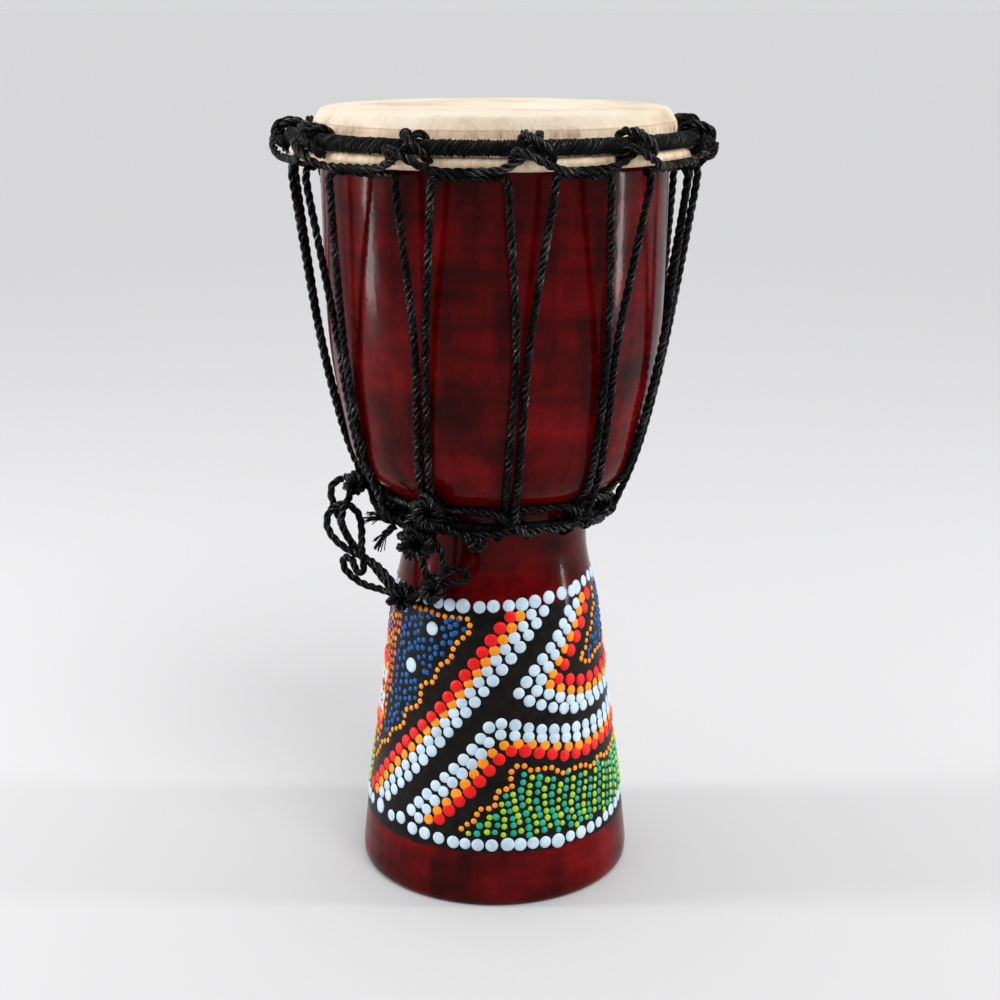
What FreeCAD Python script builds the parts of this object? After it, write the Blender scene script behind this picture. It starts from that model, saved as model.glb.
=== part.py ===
import FreeCAD, Part
import math
import os
from FreeCAD import Vector

# A small rope-tuned djembe: a goblet shell turned from one piece of wood, a goat skin
# lapped round a flesh hoop, a yarn-wrapped crown hoop that pulls the skin down, a second
# hoop at the waist, and the ropes: a cradle on each hoop, the lacing between them, one
# turn of rope bound round the waist hoop, and the spare end that hangs at the front.
# Millimetres. +Z is up, the origin is the centre of the foot, and -Y is the front.

# ---- driving dimensions ----
total_height = 400.0
skin_thickness = 1.0
skin_gap = 0.1
foot_radius = 71.7
foot_edge = 3.5
waist_radius = 48.1
waist_height = 186.0
head_radius = 87.2
head_edge = 5.0
throat_radius = 35.0

crown_radius = 100.0
crown_height = 387.0
crown_steel = 2.5
crown_tube = 3.8
flesh_radius = 98.6
flesh_height = 379.9
flesh_steel = 2.2
lower_radius = 57.0
lower_height = 199.0
lower_steel = 1.8
lower_tube = 2.8
core_gap = 0.05
binding_radius = 62.1

rope_diameter = 4.2

# Each station is one lacing V: the bearing of its hitch on the crown hoop, of its two
# legs halfway down, and of its foot at the waist, in degrees round from the front.
# top_spread is how far each leg stands to the side of the hitch at the top, in degrees.
stations = [
    (-88.0, -89.0, -92.0),
    (-56.0, -55.5, -61.0),
    (-21.5, -22.5, -28.0),
    (9.5, 8.1, 6.2),
    (38.5, 37.7, 41.5),
    (72.5, 69.0, 66.5),
    (106.0, 105.0, 103.0),
    (139.0, 140.0, 141.0),
    (172.0, 171.0, 173.0),
    (205.0, 206.0, 204.0),
    (238.0, 237.0, 236.0),
]
top_spread = [6.5, 6.5, 4.9, 6.0, 6.8, 7.0, 6.2, 6.0, 6.4, 6.0, 6.5]


def polar(bearing, radius, height):
    angle = math.radians(bearing)
    return Vector(radius * math.sin(angle), -radius * math.cos(angle), height)


# ---- rope solids: straight runs joined by tangent arcs ----
def rope_tube(name, route, diameter):
    start = route[0]
    heading = (route[1] - route[0]).normalize()
    edge = Part.Edge(Part.Circle(start, heading, diameter / 2))
    faces = [Part.Face(Part.Wire(edge))]
    here = start
    length = 0.0
    radii = []
    for before, corner, after in zip(route, route[1:], route[2:]):
        inward = corner - before
        outward = after - corner
        shorter = min(inward.Length, outward.Length)
        turn = inward.getAngle(outward)
        tangent = 0.45 * shorter
        radius = tangent / math.tan(turn / 2)
        radii.append(radius)
        inward.normalize()
        outward.normalize()
        arc_start = corner - inward * tangent
        run = arc_start - here
        faces.append(edge.extrude(run))
        edge = edge.copy()
        edge.translate(run)
        axis = inward.cross(outward).normalize()
        centre = arc_start + axis.cross(inward) * radius
        faces.append(edge.revolve(centre, axis, math.degrees(turn)))
        edge = edge.copy()
        edge.rotate(centre, axis, math.degrees(turn))
        here = corner + outward * tangent
        length += run.Length + radius * turn
    run = route[-1] - here
    faces.append(edge.extrude(run))
    edge = edge.copy()
    edge.translate(run)
    faces.append(Part.Face(Part.Wire(edge)))
    length += run.Length
    shell = Part.Shell(faces)
    solid = Part.Solid(shell)
    if solid.Volume < 0:
        solid.reverse()
    section = math.pi * diameter ** 2 / 4
    print(name, "length", round(length, 1), "tightest radius", round(min(radii), 2),
          "volume over section", round(solid.Volume / section / length, 3),
          "valid", solid.isValid(), "closed", shell.isClosed())
    print("   radii", [round(r, 1) for r in radii])
    return solid


def hitch(bearing, ring_radius, ring_height, steps):
    # Steps are (along, up, out) from the hoop's own centre line at this bearing.
    spread = ring_radius + rope_diameter
    route = []
    for along, up, out in steps:
        turned = bearing + math.degrees(along / spread)
        route.append(polar(turned, ring_radius + out, ring_height + up))
    return route


# ---- turned and carved solids ----
def turned(edges):
    face = Part.Face(Part.Wire(Part.__sortEdges__(edges)))
    return face.revolve(Vector(0, 0, 0), Vector(0, 0, 1), 360)


def smooth(points):
    curve = Part.BSplineCurve()
    curve.interpolate([Vector(r, 0, z) for r, z in points])
    return curve.toShape()


def line(a, b):
    return Part.LineSegment(Vector(a[0], 0, a[1]), Vector(b[0], 0, b[1])).toShape()


def arc(a, middle, b):
    ends = [Vector(p[0], 0, p[1]) for p in (a, middle, b)]
    return Part.Arc(*ends).toShape()


def disc(radius, height, tube):
    circle = Part.Circle(Vector(radius, 0, height), Vector(0, -1, 0), tube)
    return Part.Face(Part.Wire(circle.toShape()))


def ring(radius, height, tube, hole):
    section = disc(radius, height, tube)
    if hole > 0:
        section = section.cut(disc(radius, height, hole)).Faces[0]
    return section.revolve(Vector(0, 0, 0), Vector(0, 0, 1), 360)


def make_shell():
    top = total_height - skin_thickness - skin_gap
    foot_flat = foot_radius - foot_edge
    foot_side = (foot_radius - 0.2, foot_edge)
    outside = [
        foot_side,
        (foot_radius, 8.0),
        (69.7, 27.0),
        (65.2, 62.0),
        (58.9, 108.0),
        (52.6, 154.0),
        (waist_radius, waist_height),
        (49.6, 194.0),
        (55.0, 205.5),
        (68.2, 217.5),
        (76.9, 241.0),
        (82.6, 271.0),
        (85.5, 305.0),
        (86.4, 345.0),
        (head_radius, top - head_edge),
    ]
    inside = [
        (61.0, 0.0),
        (55.0, 50.0),
        (47.5, 108.0),
        (39.0, 160.0),
        (throat_radius, waist_height),
        (39.5, 200.0),
        (53.0, 217.0),
        (66.0, 241.0),
        (72.5, 271.0),
        (75.8, 305.0),
        (77.2, 345.0),
        (78.2, top - head_edge),
    ]
    side = head_radius - head_edge
    diagonal = head_edge * math.sqrt(0.5)
    inner_lip = (80.4, top)
    edges = [
        line(inside[0], (foot_flat, 0.0)),
        arc((foot_flat, 0.0), (foot_flat + 2.4, 1.1), foot_side),
        smooth(outside),
        arc(outside[-1], (side + diagonal, top - head_edge + diagonal), (side, top)),
        line((side, top), inner_lip),
        line(inner_lip, inside[-1]),
        smooth(inside),
    ]
    return turned(edges)


def make_drumhead_skin():
    # The top turns over a small round, slopes to a crease, and flares down to the lap.
    inner = head_radius + 0.4
    under = total_height - skin_thickness
    flat = 84.2
    crease = (89.9, 393.6)
    inner_crease = (inner + 0.5, 393.2)
    lap = flesh_steel + core_gap + skin_thickness
    outer_lap = (flesh_radius - 0.5 * (lap - 0.5), flesh_height + 0.82 * (lap - 0.5))
    inner_lap = (flesh_radius - 0.8 * (lap - 0.5), flesh_height + 0.57 * (lap - 0.5))
    edges = [
        line((0.0, total_height), (flat, total_height)),
        arc((flat, total_height), (flat + 1.5, total_height - 0.5), (flat + 2.6, total_height - 1.6)),
        line((flat + 2.6, total_height - 1.6), crease),
        line(crease, (90.6, 388.5)),
        line((90.6, 388.5), outer_lap),
        line(outer_lap, inner_lap),
        line(inner_lap, (inner + 1.2, 388.0)),
        line((inner + 1.2, 388.0), inner_crease),
        line(inner_crease, (inner + 0.05, 394.6)),
        arc((inner + 0.05, 394.6), (inner - 1.4, 397.6), (flat, under)),
        line((flat, under), (0.0, under)),
        line((0.0, under), (0.0, total_height)),
    ]
    sheet = turned(edges)
    sheet = sheet.cut(ring(flesh_radius, flesh_height, flesh_steel + core_gap, 0))
    fold = ring(flesh_radius, flesh_height, lap, flesh_steel + core_gap)
    return sheet.fuse(fold)


# ---- the upper cradle: one rope, hitched twice round the crown hoop at each station ----
crown_steps = [
    (-22.0, -10.0, 4.4),
    (-14.5, -9.4, 5.2),
    (-8.0, -6.0, 6.4),
    (-1.5, -0.8, 6.6),
    (2.6, 5.0, 4.6),
    (3.9, 6.5, -1.5),
    (4.4, 3.3, -6.0),
    (5.8, -3.0, -6.0),
    (8.0, -6.8, -2.0),
    (9.0, -5.3, 4.8),
    (6.5, -0.5, 8.5),
    (0.8, 3.6, 8.6),
    (-2.8, 6.2, 4.3),
    (-3.6, 6.6, -2.2),
    (-4.2, 2.9, -6.3),
    (-6.0, -3.6, -6.0),
    (-8.6, -7.2, -1.0),
    (-10.6, -4.4, 5.4),
    (-8.5, 0.2, 8.0),
    (-3.0, -2.2, 10.0),
    (4.0, -6.0, 9.6),
    (10.0, -8.9, 7.8),
    (15.5, -10.2, 5.6),
    (22.0, -10.2, 4.4),
]


def upper_cradle_route():
    tip = [
        polar(91.5, 110.5, 380.5),
        polar(89.0, 107.5, 381.0),
        polar(87.0, 104.5, 378.0),
        polar(89.0, 102.5, 374.5),
    ]
    tail = [
        polar(449.0, 100.8, 370.8),
        polar(454.0, 98.8, 371.4),
    ]
    order = stations[6:] + [(top + 360.0, mid, low) for top, mid, low in stations[:6]]
    route = list(tip)
    for top, mid, low in order:
        route += hitch(top, crown_radius, crown_height, crown_steps)
    return route + tail


# ---- the lower cradle: the same rope idea, hung the other way up on the waist hoop ----
waist_steps = [
    (-12.5, 10.4, 5.8),
    (-7.5, 9.8, 6.2),
    (-3.0, 7.6, 7.0),
    (3.0, 2.5, 7.6),
    (9.0, -2.0, 5.5),
    (11.5, -4.8, 0.0),
    (10.0, -3.2, -3.8),
    (8.0, 4.4, -1.6),
    (4.6, 5.3, 4.0),
    (-1.0, 1.8, 5.6),
    (-5.0, -3.2, 4.2),
    (-5.5, -5.0, -0.8),
    (-4.0, -3.0, -3.8),
    (-2.0, 4.4, -1.8),
    (0.5, 8.4, 2.0),
    (4.0, 10.4, 4.8),
    (9.0, 10.7, 5.6),
]


def lower_cradle_route():
    start = [
        polar(-44.0, 62.5, 188.5),
        polar(-43.0, 66.0, 194.5),
        polar(-41.0, 66.6, 201.5),
    ]
    stub = [
        polar(327.0, 64.4, 207.6),
        polar(336.0, 66.4, 203.0),
        polar(343.0, 66.8, 198.4),
        polar(347.5, 65.4, 195.4),
        polar(351.5, 63.6, 193.6),
    ]
    order = stations[3:] + [(0, 0, low + 360.0) for top, mid, low in stations[:2]]
    route = hitch(-28.0, lower_radius, lower_height, waist_steps)
    route = start + route[1:]
    for top, mid, low in order:
        route += hitch(low, lower_radius, lower_height, waist_steps)
    return route + stub


def waist_binding_route():
    # One turn of rope laid round the front of the waist hoop, just under the cradle's
    # hitches, from one front tie all the way round to the other.
    route = []
    for bearing in range(-26, 326, 8):
        angle = math.radians(bearing)
        rise = 0.7 * math.sin(5 * angle) + 0.5 * math.sin(11 * angle)
        route.append(polar(bearing, binding_radius, lower_height - 1.0 + rise))
    return route


# ---- the lacing: one rope that runs up and down between the two cradles ----
def lacing_leg(top, spread, mid, low, side):
    # From the crown down to the waist; side is -1 for the left leg and 1 for the right.
    # The two legs of a V lie side by side, a little further apart in degrees lower down.
    upper = top + side * spread
    return [
        polar(upper + side * 2.0, 94.4, 373.8),
        polar(upper + side * 0.8, 98.2, 374.4),
        polar(upper, 101.0, 371.8),
        polar(upper, 100.6, 365.6),
        polar(upper + (mid - upper) * 0.42 + side * 0.4, 96.0, 333.0),
        polar(mid + side * 1.5, 90.2, 291.0),
        polar(mid * 0.65 + low * 0.35 + side * 1.75, 84.6, 262.0),
        polar(mid * 0.3 + low * 0.7 + side * 2.0, 78.2, 236.0),
        polar(low + side * 2.2, 72.4, 219.0),
    ]


def lacing_turn(low):
    # Behind the cradle rope, under it, and up in front of it.
    return [
        polar(low - 2.2, 60.6, 211.0),
        polar(low - 1.6, 58.0, 205.4),
        polar(low, 60.8, 201.6),
        polar(low + 1.6, 65.6, 202.6),
        polar(low + 2.2, 68.0, 209.6),
    ]


def lacing_route():
    first_top, first_mid, first_low = stations[0]
    route = lacing_turn(first_low)[2:]
    route += reversed(lacing_leg(first_top, top_spread[0], first_mid, first_low, 1))
    turns = [(s, h) for s, h in zip(stations[1:], top_spread[1:])]
    for (top, mid, low), spread in turns:
        route += lacing_leg(top, spread, mid, low, -1)
        route += lacing_turn(low)
        route += reversed(lacing_leg(top, spread, mid, low, 1))
    route += lacing_leg(first_top + 360, top_spread[0], first_mid + 360, first_low + 360, -1)
    return route + lacing_turn(first_low + 360)[:2]


# ---- the spare end: rope left over after tuning, chained and hung across the front ----
# The long end runs from the left tie through two knots and up to the front tie.
spare_chain = [
    (-74.3, -5.0, 206.5), (-75.4, -8.0, 201.5), (-78.3, -15.5, 197.5),
    (-79.8, -15.5, 190.6), (-77.0, -16.0, 183.9), (-73.5, -16.5, 178.0),
    (-69.9, -16.5, 173.4), (-65.5, -20.5, 171.5), (-61.0, -25.5, 168.0),
    (-57.0, -29.5, 163.5), (-52.5, -33.0, 160.0),
]
spare_return = [
    (-49.4, -37.8, 160.4), (-53.0, -37.2, 165.8), (-57.7, -33.5, 170.5), (-63.1, -28.5, 173.5),
    (-69.4, -21.0, 174.0), (-74.7, -19.0, 176.0), (-79.9, -18.0, 179.0),
    (-85.0, -15.5, 183.6), (-87.6, -13.0, 189.2), (-85.9, -11.5, 195.5),
    (-81.1, -11.0, 199.2), (-74.9, -11.0, 198.4), (-70.3, -12.5, 194.1),
    (-68.8, -15.5, 188.2), (-68.7, -19.5, 181.8), (-68.6, -23.5, 176.0),
    (-67.0, -26.5, 171.0), (-68.3, -26.0, 166.3), (-72.0, -23.0, 166.2),
    (-73.0, -20.5, 171.5), (-78.5, -17.0, 173.0), (-79.0, -17.0, 166.0),
    (-71.9, -20.0, 160.4), (-65.5, -25.0, 158.9), (-59.5, -29.5, 159.0),
    (-53.8, -33.6, 158.2),
]
spare_link = [
    (-44.0, -41.2, 158.4), (-39.6, -46.2, 161.0), (-34.6, -50.4, 164.6),
]
spare_rise = [
    (-33.4, -53.6, 171.5), (-35.4, -55.8, 178.0), (-36.2, -57.8, 185.0),
]
# From the lower front tie the same rope drops again on the right and ends in a slipped loop.
spare_fall = [
    (-30.5, -62.5, 194.5), (-26.4, -64.0, 189.6), (-25.0, -63.0, 183.4),
    (-25.6, -60.0, 178.0), (-28.0, -56.5, 173.0),
]
spare_bight = [
    (-27.4, -56.0, 173.4), (-22.6, -58.6, 177.6), (-17.2, -60.4, 179.2),
    (-13.6, -61.0, 177.9), (-13.4, -61.0, 173.9), (-17.2, -60.0, 172.6),
    (-22.6, -57.4, 171.0), (-27.0, -55.0, 169.2),
]
# The short end leaves the left tie beside it and stops in the first knot.
short_end = [
    (-78.8, -5.0, 211.0), (-83.2, -6.0, 210.0), (-85.4, -7.5, 205.6),
    (-84.5, -8.5, 200.0), (-82.5, -8.5, 194.4), (-80.3, -8.5, 188.6),
    (-77.7, -9.0, 182.1), (-73.4, -11.0, 176.0), (-67.8, -14.5, 171.0),
    (-62.0, -20.0, 167.5), (-57.0, -25.0, 164.5), (-52.4, -30.2, 161.4),
]
# Each knot is a ball of the same rope: centre, long direction, half length, half width.
knots = {
    "tie_knot_left": ((-72.5, -3.0, 208.5), (1.0, 0.0, 0.0), 8.0, 7.2),
    "tie_knot_front_upper": ((-32.6, -65.6, 211.0), (0.0, 0.0, 1.0), 10.8, 9.2),
    "tie_knot_front_lower": ((-38.5, -61.2, 193.6), (0.84, -0.54, 0.0), 11.2, 9.8),
    "spare_knot_first": ((-47.6, -37.4, 157.6), (1.0, -0.8, 0.0), 10.0, 7.6),
    "spare_knot_second": ((-31.5, -52.4, 166.6), (0.0, 0.0, 1.0), 8.4, 7.6),
}


def knot_solid(centre, direction, half_length, half_width):
    outline = Part.Ellipse(Vector(0, 0, 0), half_length, half_width)
    upper_half = outline.toShape(0, math.pi)
    axis_line = Part.LineSegment(Vector(-half_length, 0, 0), Vector(half_length, 0, 0))
    face = Part.Face(Part.Wire([upper_half, axis_line.toShape()]))
    solid = face.revolve(Vector(0, 0, 0), Vector(1, 0, 0), 360)
    turn = FreeCAD.Rotation(Vector(1, 0, 0), Vector(*direction))
    solid.Placement = FreeCAD.Placement(Vector(*centre), turn)
    return solid


def vectors(points):
    return [Vector(*p) for p in points]


def build():
    parts = {}
    parts["shell"] = make_shell()
    parts["drumhead_skin"] = make_drumhead_skin()
    parts["flesh_hoop"] = ring(flesh_radius, flesh_height, flesh_steel, 0)
    parts["crown_hoop"] = ring(crown_radius, crown_height, crown_steel, 0)
    parts["crown_hoop_wrap"] = ring(crown_radius, crown_height, crown_tube,
                                    crown_steel + core_gap)
    parts["waist_hoop"] = ring(lower_radius, lower_height, lower_steel, 0)
    parts["waist_hoop_wrap"] = ring(lower_radius, lower_height, lower_tube,
                                    lower_steel + core_gap)
    routes = {
        "upper_cradle_rope": upper_cradle_route(),
        "lower_cradle_rope": lower_cradle_route(),
        "waist_binding_rope": waist_binding_route(),
        "lacing_rope": lacing_route(),
        "spare_rope_chain": vectors(spare_chain),
        "spare_rope_return": vectors(spare_return),
        "spare_rope_link": vectors(spare_link),
        "spare_rope_rise": vectors(spare_rise),
        "spare_rope_fall": vectors(spare_fall),
        "spare_rope_bight": vectors(spare_bight),
        "spare_rope_short_end": vectors(short_end),
    }
    for name, route in routes.items():
        parts[name] = rope_tube(name, route, rope_diameter)
    for name, (centre, direction, half_length, half_width) in knots.items():
        parts[name] = knot_solid(centre, direction, half_length, half_width)
    return parts


os.makedirs("parts", exist_ok=True)
for node, shape in build().items():
    if shape.Volume < 0:
        shape.reverse()
    if shape.ShapeType != "Solid":
        shape = shape.Solids[0]
    shape.exportStep("parts/" + node + ".step")
    box = shape.BoundBox
    print(node, shape.ShapeType, "volume", round(shape.Volume), "valid", shape.isValid(),
          "x", round(box.XMin, 1), round(box.XMax, 1), "y", round(box.YMin, 1),
          round(box.YMax, 1), "z", round(box.ZMin, 1), round(box.ZMax, 1))
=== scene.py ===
# %% [markdown]
# # A rope-tuned djembe
# The drum is a turned wooden goblet with a goat skin pulled over its mouth by two hoops and a
# good length of rope. The measured solids are loaded first and never change. Everything after
# that dresses them: laid rope, yarn, skin, lacquer, and a band of raised paint dots.

# %% Load the measured solids
import math
import random

import bmesh
import bpy
import numpy as np
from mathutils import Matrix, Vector


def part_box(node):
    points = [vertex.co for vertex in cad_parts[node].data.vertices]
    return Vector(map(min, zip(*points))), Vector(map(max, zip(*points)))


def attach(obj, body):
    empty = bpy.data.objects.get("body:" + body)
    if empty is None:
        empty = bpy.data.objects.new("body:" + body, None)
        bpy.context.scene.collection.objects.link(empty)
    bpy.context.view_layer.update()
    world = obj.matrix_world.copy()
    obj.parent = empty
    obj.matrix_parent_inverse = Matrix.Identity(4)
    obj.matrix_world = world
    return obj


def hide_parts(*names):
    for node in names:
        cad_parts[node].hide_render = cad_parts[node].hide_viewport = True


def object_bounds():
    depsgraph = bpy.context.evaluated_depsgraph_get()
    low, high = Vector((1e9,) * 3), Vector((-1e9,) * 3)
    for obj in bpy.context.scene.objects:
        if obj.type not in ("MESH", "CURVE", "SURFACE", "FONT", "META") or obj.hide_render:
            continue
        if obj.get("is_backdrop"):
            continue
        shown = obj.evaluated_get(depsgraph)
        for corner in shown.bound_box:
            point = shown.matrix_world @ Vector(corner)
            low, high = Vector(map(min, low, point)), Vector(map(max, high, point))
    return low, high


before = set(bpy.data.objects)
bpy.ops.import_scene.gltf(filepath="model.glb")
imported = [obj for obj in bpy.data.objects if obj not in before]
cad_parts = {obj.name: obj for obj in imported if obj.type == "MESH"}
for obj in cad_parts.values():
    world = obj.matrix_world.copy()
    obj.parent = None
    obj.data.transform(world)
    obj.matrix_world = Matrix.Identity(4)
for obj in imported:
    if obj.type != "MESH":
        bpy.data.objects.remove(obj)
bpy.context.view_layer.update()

scene = bpy.context.scene

# %% [markdown]
# ## Camera
# The drum is seen from a little above its middle, from about twice its height away.
# A long lens keeps the hoops close to true ellipses. Its numbers are named here once.

# %% Camera
lens_length = 64.02
sensor_width = 36.0
sideways_shift = 0.0052
camera_place = (0.0, -0.8988, 0.4471)
degrees_down = 15.49
camera_data = bpy.data.cameras.new("camera")
camera_data.lens = lens_length
camera_data.sensor_width = sensor_width
camera_data.shift_x = sideways_shift
camera = bpy.data.objects.new("camera", camera_data)
camera.location = camera_place
camera.rotation_euler = (math.radians(90.0 - degrees_down), 0.0, 0.0)
scene.collection.objects.link(camera)
scene.camera = camera
print("camera at", camera_place, "looking", degrees_down, "degrees down")

# %% [markdown]
# ## Helpers for node trees
# Every material and every repeat on this drum is a small tree of nodes. One helper adds a
# node and fills its sockets, so that each tree below reads as a list of steps.

# %% Node helpers
def add(tree, kind, settings=None, **sockets):
    made = tree.nodes.new(kind)
    for name, value in (settings or {}).items():
        setattr(made, name, value)
    for name, value in sockets.items():
        fill(tree, made, name.replace("_", " "), value)
    return made


def fill(tree, made, name, value):
    shown = [s for s in made.inputs if s.enabled]
    socket = next(s for s in shown if s.name == name)
    if isinstance(value, bpy.types.NodeSocket):
        tree.links.new(value, socket)
    else:
        socket.default_value = value


def math_node(tree, operation, first, second=0.0):
    made = tree.nodes.new("ShaderNodeMath")
    made.operation = operation
    for socket, value in zip(made.inputs, (first, second)):
        if isinstance(value, bpy.types.NodeSocket):
            tree.links.new(value, socket)
        else:
            socket.default_value = value
    return made.outputs[0]


def growing_tree(name, inputs):
    tree = bpy.data.node_groups.new(name, "GeometryNodeTree")
    sockets = tree.interface
    sockets.new_socket("Geometry", in_out="INPUT", socket_type="NodeSocketGeometry")
    for label, kind in inputs:
        sockets.new_socket(label, in_out="INPUT", socket_type="NodeSocket" + kind)
    sockets.new_socket("Geometry", in_out="OUTPUT", socket_type="NodeSocketGeometry")
    start = tree.nodes.new("NodeGroupInput").outputs
    return tree, start


def finish_tree(tree, start, geometry):
    smooth = add(tree, "GeometryNodeSetShadeSmooth", Geometry=geometry)
    real = add(tree, "GeometryNodeRealizeInstances", Geometry=smooth.outputs[0])
    painted = add(tree, "GeometryNodeSetMaterial", Geometry=real.outputs[0],
                  Material=start["Material"])
    end = tree.nodes.new("NodeGroupOutput")
    tree.links.new(painted.outputs[0], end.inputs[0])


def solid_mesh(thing):
    depsgraph = bpy.context.evaluated_depsgraph_get()
    return bpy.data.meshes.new_from_object(thing.evaluated_get(depsgraph))


def place(name, data):
    thing = bpy.data.objects.new(name, data)
    scene.collection.objects.link(thing)
    return thing


def grow(name, seed_mesh, tree, values):
    # Puts the tree on the seed, reads the result as a plain mesh, and drops the seed.
    seed = place(name + "_seed", seed_mesh)
    modifier = seed.modifiers.new("grow", "NODES")
    modifier.node_group = tree
    for item in tree.interface.items_tree:
        if item.in_out == "INPUT" and item.name in values:
            modifier[item.identifier] = values[item.name]
    grown = solid_mesh(seed)
    seed.modifiers.remove(modifier)
    bpy.data.objects.remove(seed)
    grown.name = name
    piece = place(name, grown)
    print(name, "faces", len(grown.polygons), "vertices", len(grown.vertices))
    return piece


def hand_over(piece, slot_name, *nodes):
    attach(piece, "root")
    if nodes:
        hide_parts(*nodes)

# %% [markdown]
# ## Rope black
# The rope is shiny split-film polypropylene. Each strand is a bundle of flat filaments that
# run nearly along the rope, so the surface is long fine scratches with hard small glints.
# The pattern is laid on the strand itself: its place round the strand and along the rope are
# saved when the rope is grown, and a noise that is stretched along them makes the filaments.

# %% Material helpers
def material(name):
    made = bpy.data.materials.new(name)
    made.use_nodes = True
    tree = made.node_tree
    surface = tree.nodes["Principled BSDF"]
    return made, tree, surface


def noise(tree, where, scale, detail=4.0, roughness=0.55):
    made = add(tree, "ShaderNodeTexNoise", Vector=where, Scale=scale, Detail=detail,
               Roughness=roughness)
    return made.outputs[0]


def stretched(tree, where, scale):
    return add(tree, "ShaderNodeMapping", Vector=where, Scale=scale).outputs[0]


def ramp(tree, factor, stops):
    made = add(tree, "ShaderNodeValToRGB", Fac=factor)
    marks = made.color_ramp.elements
    while len(marks) < len(stops):
        marks.new(0.5)
    for mark, (position, colour) in zip(marks, stops):
        mark.position = position
        mark.color = (*colour, 1.0)
    return made.outputs[0]


def grey(value):
    return (value, value, value)


def bumped(tree, surface, height, distance, strength=1.0):
    made = add(tree, "ShaderNodeBump", Height=height, Distance=distance, Strength=strength)
    tree.links.new(made.outputs[0], surface.inputs["Normal"])
    return made


def own_space(tree):
    return tree.nodes.new("ShaderNodeTexCoord").outputs["Object"]


def mixed(tree, factor, first, second):
    made = add(tree, "ShaderNodeMix", {"data_type": "RGBA"}, Factor=factor)
    for name, value in (("A", first), ("B", second)):
        fill(tree, made, name, value if isinstance(value, bpy.types.NodeSocket) else (*value, 1.0))
    return made.outputs["Result"]


filament_turns = -300.0
filament_stretch = 0.035
gloss_spread = 0.18
dull_glint = 0.05


def strand_material(name, dark, light, filament_width, depth, gloss, shine):
    # Depth is the bump's, gloss the lowest roughness, and shine the strongest glint.
    made, tree, surface = material(name)
    around = add(tree, "ShaderNodeAttribute", {"attribute_name": "around"}).outputs["Vector"]
    along = add(tree, "ShaderNodeAttribute", {"attribute_name": "along"}).outputs["Fac"]
    turn = math_node(tree, "MULTIPLY", along, filament_turns)
    turned = add(tree, "ShaderNodeVectorRotate", {"rotation_type": "Z_AXIS"}, Vector=around,
                 Angle=turn).outputs[0]
    slow = math_node(tree, "MULTIPLY", along, filament_stretch)
    lift = add(tree, "ShaderNodeCombineXYZ", Z=slow).outputs[0]
    adder = add(tree, "ShaderNodeVectorMath", {"operation": "ADD"})
    tree.links.new(turned, adder.inputs[0])
    tree.links.new(lift, adder.inputs[1])
    spot = adder.outputs[0]
    filaments = noise(tree, spot, 1.0 / filament_width, 3.0)
    patches = noise(tree, own_space(tree), 160.0, 3.0)
    shade = math_node(tree, "MULTIPLY", filaments, patches)
    colour = ramp(tree, shade, [(0.12, dark), (0.42, light)])
    tree.links.new(colour, surface.inputs["Base Color"])
    rough = ramp(tree, filaments, [(0.3, grey(gloss)), (0.75, grey(gloss + gloss_spread))])
    tree.links.new(rough, surface.inputs["Roughness"])
    glints = ramp(tree, noise(tree, spot, 0.45 / filament_width, 2.0),
                  [(0.53, grey(dull_glint)), (0.66, grey(shine))])
    tree.links.new(glints, surface.inputs["Specular IOR Level"])
    bumped(tree, surface, filaments, depth)
    return made


deep_black = (0.0006, 0.0006, 0.0007)
rope_black = strand_material("rope_black", deep_black, (0.0050, 0.0050, 0.0054),
                             filament_width=0.00042, depth=0.0007, gloss=0.14, shine=1.0)
yarn_black = strand_material("yarn_black", deep_black, (0.0060, 0.0057, 0.0057),
                             filament_width=0.0003, depth=0.0005, gloss=0.42, shine=0.45)
print("materials:", rope_black.name, yarn_black.name)

# %% [markdown]
# ## Laid rope
# Rope is three strands twisted round each other. A smooth round tube never looks like it, and
# a carved pattern has no gaps at the edge. So the tree below sweeps three small circles along
# the rope's line while it turns them, one full turn for every pitch of the rope.

# %% Rope sizes
rope_diameter = 0.0042
strand_radius = 0.00104
strand_offset = 0.00106
rope_pitch = 0.0155
ring_step = 0.0013
fine_step = 0.0008
strand_sides = 8

# %% The tree that lays a rope
rope_tree, rope_in = growing_tree("laid_rope", [
    ("Strand Radius", "Float"), ("Strand Offset", "Float"), ("Pitch", "Float"),
    ("Step", "Float"), ("Sides", "Int"), ("Material", "Material")])
line = add(rope_tree, "GeometryNodeMeshToCurve", Mesh=rope_in["Geometry"]).outputs[0]
line = add(rope_tree, "GeometryNodeResampleCurve", {"mode": "LENGTH"}, Curve=line,
           Length=rope_in["Step"]).outputs[0]
walked = add(rope_tree, "GeometryNodeSplineParameter").outputs["Length"]
twist = math_node(rope_tree, "DIVIDE", walked, rope_in["Pitch"])
twist = math_node(rope_tree, "MULTIPLY", twist, math.tau)
line = add(rope_tree, "GeometryNodeSetCurveTilt", Curve=line, Tilt=twist).outputs[0]
line = add(rope_tree, "GeometryNodeStoreNamedAttribute", {"data_type": "FLOAT"}, Geometry=line,
           Name="along", Value=walked).outputs[0]
strand = add(rope_tree, "GeometryNodeCurvePrimitiveCircle", Resolution=rope_in["Sides"],
             Radius=rope_in["Strand Radius"]).outputs[0]
here = add(rope_tree, "GeometryNodeInputPosition").outputs[0]
strand = add(rope_tree, "GeometryNodeStoreNamedAttribute", {"data_type": "FLOAT_VECTOR"},
             Geometry=strand, Name="around", Value=here).outputs[0]
shift = add(rope_tree, "ShaderNodeCombineXYZ", X=rope_in["Strand Offset"]).outputs[0]
strand = add(rope_tree, "GeometryNodeTransform", Geometry=strand, Translation=shift).outputs[0]
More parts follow.
